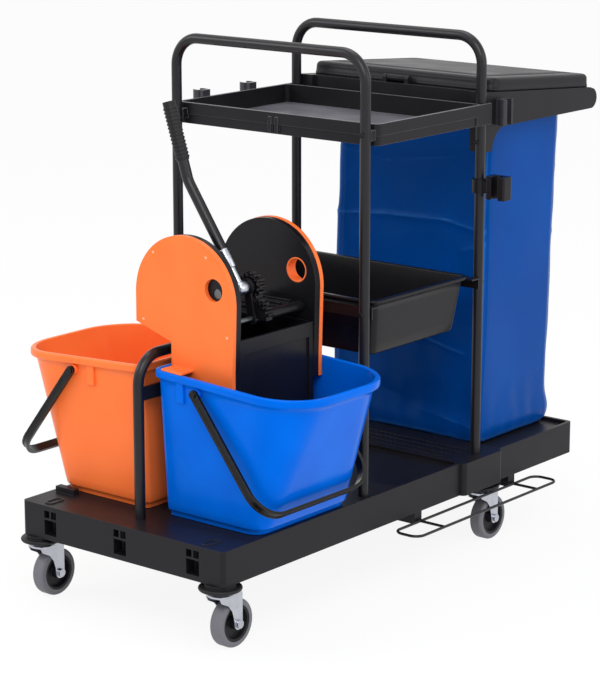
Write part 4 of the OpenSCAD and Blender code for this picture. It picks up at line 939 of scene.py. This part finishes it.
@dataclass(frozen=True)
class Ripple:
    """Slow uneven waves in the bag's sheet.

    Attributes:
        depth: how far the waves stand out at most.
        width: width of one wave.
        squeeze: how much narrower the waves are along each axis, less than 1 for wider.
        shift: where along each axis they start.
    """

    depth: float
    width: float
    squeeze: Point = (1.0, 1.0, 1.0)
    shift: Point = (0.0, 0.0, 0.0)

    def lift(self, place: Point) -> float:
        """How far the sheet stands out at a place."""
        return self.depth * noise.noise(
            Vector([p * s + o for p, s, o in zip(place, self.squeeze, self.shift)]) / self.width)


BILLOW = Ripple(3.0, 170.0, squeeze=(1.0, 1.0, 0.8))
PUCKER = Ripple(3.5, 48.0, squeeze=(1.2, 1.2, 0.5), shift=(0.0, 0.0, 90.0))
FRONT_RIPPLE = Ripple(1.6, 62.0, shift=(300.0, 0.0, 0.0))
REAR_RIPPLE = Ripple(1.6, 70.0, shift=(0.0, 210.0, 0.0))


@dataclass
class BagEnd:
    """Holder and the hanging bag.

    Attributes:
        top: height of the bag's hem.
        foot: height of the bag's floor.
        half_width: half the bag's width.
        front_top: front of the bag at its hem.
        front_lean: how far the front comes forward down to the floor.
        rear_top: rear of the bag at its hem.
        rear_lean: how far the rear comes forward down to the floor.
        rear_waist: how far the rear pulls in at half height.
        rear_bulge: how far the rear stands out again over the floor, the height of that and its spread.
        belly: how far the walls billow out in the middle.
        belly_h: height over the floor that the front billows to.
        pucker_h: height over the floor that the puckers reach.
        flute_mm: width of a flute in the sides, for one radian of its wave.
        flute_lean: height over which a flute drifts by one radian.
        flute_share: share of their depth that the flutes keep above the puckers.
        settle: how far the sheet settles outward over the floor, the height of that and its spread.
        rear_shift: how much lower the rear's creases lie than the front's.
        rear_share: how much of their depth they have.
        wall_in: room that the plain wall leaves for the folds inside the bag's width.
        corner_rs: corner radii of the wall at the hem and at the floor.
        floor_r: corner radius of the floor.
        floor_steps: insets and heights of the outlines of the floor, from its middle outward.
        sheet_mm: thickness of the coated sheet.
        seam_mm: stand-out of the welded seams up the corners.
        hook_x: place of the first hook along the cart.
        hook_pitch: distance from hook to hook.
        hem_sag: how far the hem sags between hooks.
        hem_h: height of the band that sags.
        hem_stiff: share of the folds that is left in the hem, where they start under it and over what height
            they come to their full depth.
        flat_ends: share of the half depth beyond which the sheet faces straight to the front or the rear.
        flat_sides: share of the half width beyond which it faces straight to a side.
        corner_steps: faces round a corner.
        side_steps: faces along a side.
        rows: rows of faces up the bag.
        first_row: the row that the wall starts with, over the floor's edge.
    """

    top: float = 958.0
    foot: float = 206.5
    half_width: float = 209.0
    front_top: float = 973.0
    front_lean: float = 25.0
    rear_top: float = 1260.0
    rear_lean: float = 40.0
    rear_waist: float = 7.0
    rear_bulge: Point = (9.0, 245.0, 36.0)
    belly: float = 4.0
    belly_h: float = 500.0
    pucker_h: float = 150.0
    flute_mm: float = 46.0
    flute_lean: float = 420.0
    flute_share: float = 0.3
    settle: Point = (4.5, 236.0, 26.0)
    rear_shift: float = 38.0
    rear_share: float = 0.8
    wall_in: float = 2.5
    corner_rs: Tuple[float, float] = (24.0, 16.0)
    floor_r: float = 26.0
    floor_steps: Steps = ((60.0, 0.0), (22.0, 0.0), (6.0, 1.2), (1.2, 5.0))
    sheet_mm: float = 1.2
    seam_mm: float = 1.8
    hook_x: float = 1030.2
    hook_pitch: float = 173.0
    hem_sag: float = 5.0
    hem_h: float = 30.0
    hem_stiff: Point = (0.15, 20.0, 60.0)
    flat_ends: float = 0.985
    flat_sides: float = 0.975
    corner_steps: int = 10
    side_steps: int = 56
    rows: int = 200
    first_row: int = 3

    def fall(self, z: float) -> float:
        """How far down the bag a height lies: 0 at the hem, 1 at the floor."""
        return (self.top - z) / (self.top - self.foot)

    @staticmethod
    def swell(shape: Point, z: float) -> float:
        """Outward swell with a given depth, height of its middle and spread, at a height."""
        depth, middle, reach = shape
        return depth * math.exp(-((z - middle) / reach) ** 2)

    def front_x(self, z: float) -> float:
        """Front of the bag at a height."""
        return self.front_top - self.front_lean * self.fall(z)

    def rear_x(self, z: float) -> float:
        """Rear of the bag, which pulls in at the middle and stands out again over its floor.

        Args:
            z: height.
        Returns:
            Place along the cart.
        """
        down = self.fall(z)
        waist = self.rear_waist * math.sin(math.pi * down) ** 2
        return self.rear_top - self.rear_lean * down - waist + self.swell(self.rear_bulge, z)

    def fold(self, place: Point, facing: Vector) -> float:
        """How far the sheet stands out of its plain shape.

        Args:
            place: the place on the plain bag.
            facing: outward direction there.
        Returns:
            Outward distance in millimetres.
        """
        x, y, z = place
        lower = max(0.0, 1.0 - (z - self.foot) / self.pucker_h)
        out = BILLOW.lift(place) + lower * PUCKER.lift(place)
        if facing.x < -0.5:
            out += FRONT_RIPPLE.lift(place) + sum(crease.lift(y, z) for crease in CREASES)
            out += self.belly * math.sin(math.pi * clamp((z - self.foot) / self.belly_h))
        if facing.x > 0.5:
            out += REAR_RIPPLE.lift(place)
            out += self.rear_share * sum(crease.lift(-y, z + self.rear_shift) for crease in CREASES)
        if abs(facing.y) > 0.5:
            # Upright flutes a millimetre deep that lean a little.
            wave = math.sin((x - self.front_x(self.foot)) / self.flute_mm + z / self.flute_lean)
            out += wave * (self.flute_share + (1 - self.flute_share) * lower)
            out += self.belly * math.sin(math.pi * (1 - self.fall(z)))
        out += self.swell(self.settle, z)
        left, start, reach = self.hem_stiff
        return out * (left + (1 - left) * clamp((self.top - start - z) / reach))

    def outward(self, across: float, along: float) -> Vector:
        """Outward direction of the plain bag.

        Args:
            across: place between front and rear, from -1 to 1.
            along: place between the sides, from -1 to 1.
        Returns:
            The level direction that the sheet faces.
        """
        if abs(across) > self.flat_ends:
            return Vector((math.copysign(1, across), 0, 0))
        if abs(along) > self.flat_sides:
            return Vector((0, math.copysign(1, along), 0))
        return Vector((across, along, 0)).normalized()

    def wall_ring(self, level: float) -> Ring:
        """The folded sheet at one level.

        Args:
            level: height of the plain ring.
        Returns:
            Points in cart millimetres.
        """
        side, (hem_r, foot_r) = self.half_width - self.wall_in, self.corner_rs
        plan = Outline(self.front_x(level), self.rear_x(level), -side, side,
                       hem_r + (foot_r - hem_r) * self.fall(level), level)
        middle_x, half_depth = (plan.x0 + plan.x1) / 2, (plan.x1 - plan.x0) / 2
        hem = max(0.0, level - self.top + self.hem_h) / self.hem_h
        shaped: Ring = []
        for index, (x, y, z) in enumerate(plan.ring(self.corner_steps, self.side_steps)):
            facing = self.outward((x - middle_x) / half_depth, y / self.half_width)
            out = self.fold((x, y, z), facing)
            # The seam runs up the middle of each corner.
            if abs(index % (self.corner_steps + self.side_steps) - self.corner_steps / 2) < 1:
                out += self.seam_mm
            sag = self.hem_sag * abs(math.sin((x - self.hook_x) / self.hook_pitch * math.pi)) * hem
            shaped.append((x + facing.x * out, y + facing.y * out, z - sag))
        return shaped

    def bag(self) -> None:
        """Lofts the hanging bag with its floor, folds and hem."""
        rings: List[Ring] = []
        for inset, rise in self.floor_steps:
            plan = Outline(self.front_x(self.foot) + inset, self.rear_x(self.foot) - inset,
                           inset - self.half_width, self.half_width - inset, self.floor_r, self.foot + rise)
            rings.append(plan.ring(self.corner_steps, self.side_steps))
        rings += [self.wall_ring(level) for level in spread(self.foot, self.top, self.rows)[self.first_row:]]
        bag = skin("hanging_bag", rings, cap_last=False)
        thick = bag.modifiers.new("sheet", "SOLIDIFY")
        thick.thickness = self.sheet_mm * MM
        thick.offset = -1
        finish_piece(bag, COATED_WEAVE, Body.CART)
        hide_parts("bag")

    def build(self) -> None:
        """Dresses the holder and hangs the bag."""
        DRESSER.dress(("bag_holder", "bag_hooks"), BLACK_PLASTIC)
        self.bag()


@dataclass
class Lid:
    """Moulded lid over the bag: a shallow cap with soft edges, a sunk panel line and a hinge knuckle.

    Attributes:
        hinge_x: hinge axis along the cart.
        hinge_z: height of the hinge axis.
        slope: fall of the closed lid toward the rear, in degrees.
        start: front edge of the cap, from the hinge axis.
        length: length of the cap.
        width: width of the cap.
        height: height of the cap.
        drop: how far its lower edge lies under the hinge axis.
        radius: corner radius seen from above.
        wall: wall thickness.
        ceiling_r: radius round the ceiling inside.
        centre: how far inside the edge the ceiling is closed by one face.
        bevel: bevel of the lower edge.
        lip_h: height of the lip round the lower edge.
        lip_bevel: height of the bevel on the lip.
        lip_in: set-backs of the lip, of the side just over it and of the side at its top.
        crown_r: radius of the upper edge.
        crown_drop: how far the upper edge stays under the panel.
        crown_gap: how far the side ends below the rounding.
        panel: insets and depths of the outlines over the top: its edge, the sunk line and the slight crown.
        knuckle_half: half the length of the hinge knuckle.
        knuckle_r: radius of the knuckle.
        knuckle_ends: places along the knuckle, as shares of its half length, and bevels there.
        bridge_in: how far the bridge reaches into the cap.
        bridge_low: depth of the bridge, as a share of the knuckle's radius.
    """

    hinge_x: float = 912.15
    hinge_z: float = 1018.9
    slope: float = 4.3
    start: float = 10.0
    length: float = 393.0
    width: float = 502.0
    height: float = 31.0
    drop: float = 9.67
    radius: float = 26.0
    wall: float = 4.0
    ceiling_r: float = 6.0
    centre: float = 90.0
    bevel: float = 0.8
    lip_h: float = 6.0
    lip_bevel: float = 0.6
    lip_in: Point = (0.1, 1.0, 1.6)
    crown_r: float = 10.5
    crown_drop: float = 2.0
    crown_gap: float = 0.5
    panel: Steps = ((22.0, 1.4), (33.0, 1.0), (34.5, 2.9), (38.5, 2.9), (40.0, 0.7), (70.0, 0.35),
                    (140.0, 0.1))
    knuckle_half: float = 24.0
    knuckle_r: float = 7.5
    knuckle_ends: Steps = ((-1.0, 1.0), (-0.96, 0.0), (0.96, 0.0), (1.0, 1.0))
    bridge_in: float = 2.0
    bridge_low: float = 0.6

    def sloped(self, ring: Ring) -> Ring:
        """Points given along the lid, across and above its hinge axis, set on the lid's slope."""
        turn = math.radians(self.slope)
        return [(self.hinge_x + u * math.cos(turn) + w * math.sin(turn), y,
                 self.hinge_z - u * math.sin(turn) + w * math.cos(turn)) for u, y, w in ring]

    def cap(self) -> bpy.types.Object:
        """The cap: from the middle of its ceiling, down inside, round the lower edge and up over the top.

        Returns:
            The new piece.
        """
        side = self.width / 2
        edge = Outline(self.start, self.start + self.length, -side, side, self.radius, 0.0)
        low, top, inside = -self.drop, self.height - self.drop, -self.wall
        ceiling, lip, crown = top - 2 * self.wall, low + self.lip_h, top - self.crown_drop - self.crown_r
        lip_edge, side_low, side_top = self.lip_in
        steps = [edge.grown(-self.centre, ceiling), edge.grown(inside - 2 * self.ceiling_r, ceiling)]
        steps += edge.rounded(inside - self.ceiling_r, ceiling - self.ceiling_r, self.ceiling_r, 90, 0, 4)
        steps += [edge.grown(out, z) for out, z in (
            (inside, low + self.bevel), (inside + self.bevel, low), (-self.bevel, low),
            (-lip_edge, low + self.bevel), (-lip_edge, lip), (-side_low, lip + self.lip_bevel),
            (-side_top, crown - self.crown_gap))]
        steps += edge.rounded(-side_top - self.crown_r, crown, self.crown_r, 0, 86, 7)
        steps += [edge.grown(-inset, top - under) for inset, under in self.panel]
        return skin("bag_lid_cap", [self.sloped(step.ring(corner_steps=10, side_steps=12)) for step in steps])

    def knuckle(self) -> bpy.types.Object:
        """The hinge knuckle at the front edge, with its bridge to the cap.

        Returns:
            The new piece.
        """
        bridge = self.start + self.bridge_in
        rings: List[Ring] = []
        for end, bevel in self.knuckle_ends:
            r = self.knuckle_r - bevel
            shape = [(r * math.cos(a), r * math.sin(a)) for a in arc_steps(90, 270, 14)]
            shape += [(bridge, -self.knuckle_r * self.bridge_low), (bridge, r)]
            rings.append(self.sloped([(u, end * self.knuckle_half, w) for u, w in shape]))
        return skin("bag_lid_knuckle", rings)

    def build(self) -> None:
        """Builds the lid in place of the plain node and dresses its pin."""
        cap = self.cap()
        for piece in (cap, self.knuckle()):
            finish_piece(piece, BLACK_PLASTIC, Body.LID)
        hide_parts("bag_lid")
        DRESSER.dress(("lid_hinge_pin",), BLACK_PLASTIC)


@dataclass
class Bucket:
    """One mop bucket: a leaning shell with a rolled, falling rim, a set-back foot, pivot lugs and stop ribs.

    Attributes:
        side: which side of the hoop it stands on.
        finish: what it is moulded from.
        body: the rigid body that it rides on.
        slot: the record's material slot; not used.
        pivot_y: distance of the bail pivots from the hoop.
        x0: front edge of the rim.
        x1: rear edge of the rim.
        y0: rim edge next to the hoop.
        y1: outer rim edge.
        z: underside of the bucket.
        height: height of the rim next to the hoop.
        rim_w: stand-out of the rim.
        rim_h: depth of the rim.
        rim_fall: fall of the rim away from the hoop, in degrees.
        rim_rs: radii of the rim's lower, upper and inner edge.
        fit: how far the rim stays inside its stand-out.
        wall: wall thickness.
        foot_h: height of the set-back foot.
        foot_in: set-back of the foot.
        foot_gap: how far below the wall the foot's side ends.
        foot_steps: insets and heights of the foot's outlines, from the middle of the underside outward.
        heel_steps: insets and heights of the outlines where the wall starts over the foot.
        leans: how far the front, rear, inner and outer walls lean out from foot to rim.
        lean_start: share of the lean that the wall starts with over the foot.
        corner_rs: corner radii: next to the hoop, outer at the foot and outer at the rim.
        floor_h: height of the inner floor over the underside.
        floor_in: how far the edge of the floor lies inside the wall's inner face.
        floor_r: radius round the inner floor.
        centre: how far inside its edge the floor is closed by one face.
        rows: rows of faces up a wall.
        rim_gap: how far the wall's last outline stays under the rim.
        pivot_drop: height of the rim above the bail pivots.
        lug_in: set-back of a lug's face from the rim's edge.
        lug_depths: how deep the front and rear lugs go from the rim's edge.
        lug_steps: depths and radii of a lug, from its outer face.
        rib_off: distance of the stop ribs from the pivots.
        rib_half: half the width of a rib.
        rib_z: lower and upper end of a rib, from the pivots.
        rib_steps: depths and bevels of a rib, from its outer face.
    """

    side: Side
    finish: Finish
    body: Body
    slot: str
    pivot_y: float
    x0: float = 83.0
    x1: float = 421.0
    y0: float = 14.0
    y1: float = 390.2
    z: float = 213.3
    height: float = 310.0
    rim_w: float = 8.0
    rim_h: float = 16.0
    rim_fall: float = 3.0
    rim_rs: Point = (3.0, 5.0, 3.0)
    fit: float = 0.1
    wall: float = 4.0
    foot_h: float = 14.0
    foot_in: float = 5.0
    foot_gap: float = 3.0
    foot_steps: Steps = ((70.0, 1.5), (14.0, 1.5), (10.0, 0.0), (2.0, 0.0), (0.5, 0.6), (0.0, 2.2))
    heel_steps: Steps = ((3.6, -2.2), (1.2, -1.2), (0.0, 1.2))
    leans: Tuple[float, float, float, float] = (20.0, 4.0, 10.0, 120.0)
    lean_start: float = 0.05
    corner_rs: Point = (16.0, 36.0, 104.0)
    floor_h: float = 6.0
    floor_in: float = 1.0
    floor_r: float = 9.0
    centre: float = 60.0
    rows: int = 16
    rim_gap: float = 1.0
    pivot_drop: float = 28.0
    lug_in: float = 0.5
    lug_depths: Tuple[float, float] = (14.0, 12.0)
    lug_steps: Steps = ((0.0, 4.2), (0.0, 8.2), (0.8, 9.4), (1.8, 10.0))
    rib_off: float = 46.0
    rib_half: float = 10.0
    rib_z: Tuple[float, float] = (-30.0, 13.0)
    rib_steps: Steps = ((4.0, 2.0), (5.0, 0.6), (6.5, 0.0))

    def wall_outline(self, t: float, z: float) -> Outline:
        """Outer face of the wall.

        Args:
            t: 0 at the foot, 1 at the rim.
            z: height of the outline.
        Returns:
            The wall's outline.
        """
        front, rear, inner, outer = self.leans
        near, foot, rim = self.corner_rs
        back = 1 - t
        return Outline(self.x0 + self.rim_w + back * front, self.x1 - self.rim_w - back * rear,
                       self.y0 + self.rim_w + back * (inner - self.rim_w),
                       self.y1 - self.rim_w - back * (outer - self.rim_w), foot + (rim - foot) * t, z, near)

    def wall_at(self, z: float) -> Outline:
        """Outer face of the wall at a height between the foot and the rim."""
        up = (z - self.z - self.foot_h) / (self.height - self.foot_h)
        return self.wall_outline(self.lean_start + (1 - self.lean_start) * up, z)

    def profile(self) -> List[Outline]:
        """The shell's skin.

        Returns:
            Outlines from the middle of the underside, up the outside, over the rim and down inside.
        """
        top, low = self.z + self.height, self.z + self.foot_h
        under, foot = top - self.rim_h, self.wall_outline(0, self.z)
        steps = [foot.grown(-self.foot_in - inset, self.z + rise) for inset, rise in self.foot_steps]
        steps.append(foot.grown(-self.foot_in, low - self.foot_gap))
        steps += [self.wall_at(low).grown(-inset, low + rise) for inset, rise in self.heel_steps]
        heights = spread(low, under, self.rows)[1:-1]
        steps += [self.wall_at(z) for z in heights + [under - self.rim_gap]]
        rim, out = self.wall_at(top), self.rim_w - self.fit
        lower_r, upper_r, inner_r = self.rim_rs
        steps += rim.rounded(out - lower_r, under + lower_r, lower_r, -90, 0, 3)
        steps += rim.rounded(out - upper_r, top - upper_r, upper_r, 0, 90, 5)
        steps += rim.rounded(inner_r - self.wall, top - inner_r, inner_r, 90, 180, 4)
        steps += [self.wall_at(z).grown(-self.wall, z) for z in reversed(heights)]
        inside, floor_z = self.wall_at(low).grown(-self.wall - self.floor_in, low), self.z + self.floor_h
        steps += inside.rounded(-self.floor_r, floor_z + self.floor_r, self.floor_r, 0, -90, 4)
        steps.append(inside.grown(-self.centre, floor_z))
        return steps

    def placed(self, ring: Ring) -> Ring:
        """A ring on this bucket's side, falling away from the hoop: fully at the rim, not at all at the foot.

        Args:
            ring: points for the orange side with a level rim.
        Returns:
            The points in their places.
        """
        low, high = self.z + self.foot_h, self.z + self.height - self.rim_h
        slope = math.tan(math.radians(self.rim_fall))
        return [(x, y * self.side.value, z - slope * (y - self.y0) * clamp((z - low) / (high - low)))
                for x, y, z in ring]

    def lugs(self) -> List[bpy.types.Object]:
        """Round pivot lugs on the two end walls and the stop ribs beside them.

        Returns:
            The new pieces.
        """
        made = []
        y, z = self.pivot_y - self.rib_off, self.z + self.height - self.pivot_drop
        for end, (edge, inward) in enumerate(((self.x0, 1), (self.x1, -1))):
            face, back = edge + inward * self.lug_in, edge + inward * self.lug_depths[end]
            lug_steps = [(face + inward * depth, r) for depth, r in self.lug_steps]
            lug = [[(x, self.pivot_y + r * math.cos(a), z + r * math.sin(a)) for a in circle_steps(32)]
                   for x, r in lug_steps + [(back, self.lug_steps[-1][1])]]
            made.append(skin(f"{self.body.value}_lug_{end}", [self.placed(ring) for ring in lug]))
            rib = []
            rib_steps = [(face + inward * depth, bevel) for depth, bevel in self.rib_steps]
            for x, bevel in rib_steps + [(back, 0.0)]:
                half, low, high = self.rib_half - bevel, z + self.rib_z[0] + bevel, z + self.rib_z[1]
                rib.append([(x, y + half, low), (x, y + half, high), (x, y - half, high), (x, y - half, low)])
            made.append(skin(f"{self.body.value}_stop_{end}", [self.placed(ring) for ring in rib],
                             smooth=False))
        return made

    def build(self) -> None:
        """Builds the shell, its lugs and its ribs in place of the plain node."""
        rings = [self.placed(step.ring(corner_steps=14, side_steps=10)) for step in self.profile()]
        shell = skin(self.body.value + "_shell", rings)
        for piece in [shell] + self.lugs():
            finish_piece(piece, self.finish, self.body)
        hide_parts(self.body.value)


@dataclass
class Buckets:
    """Both mop buckets and their bails."""

    def build(self) -> None:
        """Builds the buckets and dresses the bails."""
        Bucket(Side.LEFT, ORANGE, Body.ORANGE, "orange_plastic", pivot_y=205.0).build()
        Bucket(Side.RIGHT, BLUE, Body.BLUE, "blue_plastic", pivot_y=132.0).build()
        DRESSER.dress(("orange_bail", "orange_bail_pins", "blue_bail", "blue_bail_pins"), BLACK_BAIL)


@dataclass
class Wringer:
    """Press wringer and its lever.

    Attributes:
        face_x: front face of the front cover.
        studs: places of the small moulded studs on that face, across the cart and up.
        stud_r: radius of a stud.
        stud_h: height of a stud.
        stud_root: how far a stud is sunk into the cover.
        stud_end: how far its dome is rounded before it is closed by a small face, in degrees.
        lever_foot: place of the lever's turning axis.
        lever_lean: lean of the lower lever, in degrees.
        ferrule: distances up the lever and radii of the bright ferrule under the tube.
    """

    face_x: float = 124.0
    studs: Steps = ((11.8, 749.6), (-127.6, 755.7), (40.4, 609.5), (-181.0, 602.3))
    stud_r: float = 3.1
    stud_h: float = 1.5
    stud_root: float = 0.3
    stud_end: float = 78.0
    lever_foot: Point = (207.0, -148.0, 684.0)
    lever_lean: float = 34.5
    ferrule: Steps = ((44.0, 7.6), (45.0, 9.6), (47.0, 10.4), (79.0, 11.3), (84.0, 11.5), (85.0, 11.0),
                      (85.0, 7.6))

    def cover_studs(self) -> None:
        """Sets the small domed studs on the front cover."""
        for index, (y, z) in enumerate(self.studs):
            rings: List[Ring] = []
            for rise in arc_steps(0, self.stud_end, 5):
                x = self.face_x + self.stud_root - self.stud_h * math.sin(rise)
                r = self.stud_r * math.cos(rise)
                rings.append([(x, y + r * math.cos(a), z + r * math.sin(a)) for a in circle_steps(18)])
            finish_piece(skin(f"cover_stud_{index}", rings), ORANGE_RUBBED, Body.WRINGER)

    def lever_ferrule(self) -> None:
        """Turns the bright ferrule that joins the lever's shank and tube."""
        lean = math.radians(self.lever_lean)
        x, y, z = self.lever_foot
        rings = [[(x + r * math.cos(a), y + s * math.sin(lean) + r * math.sin(a) * math.cos(lean),
                   z + s * math.cos(lean) - r * math.sin(a) * math.sin(lean)) for a in circle_steps(32)]
                 for s, r in self.ferrule]
        ferrule = skin("lever_ferrule", rings + rings[:1], cap_first=False, cap_last=False)
        finish_piece(ferrule, ZINC, Body.LEVER)

    def build(self) -> None:
        """Dresses the wringer and sets its studs and ferrule."""
        DRESSER.dress(("wringer_front_cover", "wringer_rear_cover"), ORANGE)
        DRESSER.dress(("wringer_front_frame", "wringer_rear_frame", "wringer_chamber", "bearing_link",
                       "press_jaw"), BLACK_SMOOTH)
        DRESSER.dress(("lever_pinion",), BLACK_BAIL)
        DRESSER.dress(("lever_hub",), ZINC)
        DRESSER.dress(("press_rod", "lever_shaft"), STEEL)
        DRESSER.dress(("lever_tube",), BLACK_TUBE)
        DRESSER.dress(("lever_grip",), BLACK_RUBBER)
        self.cover_studs()
        self.lever_ferrule()


@dataclass
class Casters:
    """Four swivel casters."""

    corners: Tuple[str, ...] = ("fl", "fr", "rl", "rr")

    def build(self) -> None:
        """Dresses wheels, forks and bumpers."""
        DRESSER.dress(("caster_bumpers",), BLACK_RUBBER)
        DRESSER.dress(("swivel_races", "king_pins"), ZINC)
        for corner in self.corners:
            DRESSER.dress((corner + "_fork", corner + "_axle"), ZINC)
            DRESSER.dress((corner + "_tyre",), GREY_TREAD)
            DRESSER.dress((corner + "_hub",), BLACK_PLASTIC)


def main() -> None:
    """Builds every sub-assembly in order."""
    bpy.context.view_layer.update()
    for assembly in (Base(), Frames(), Shelf(), Tote(), BagEnd(), Lid(), Buckets(), Wringer(), Casters(),
                     Studio()):
        assembly.build()


if __name__ == "__main__":
    main()
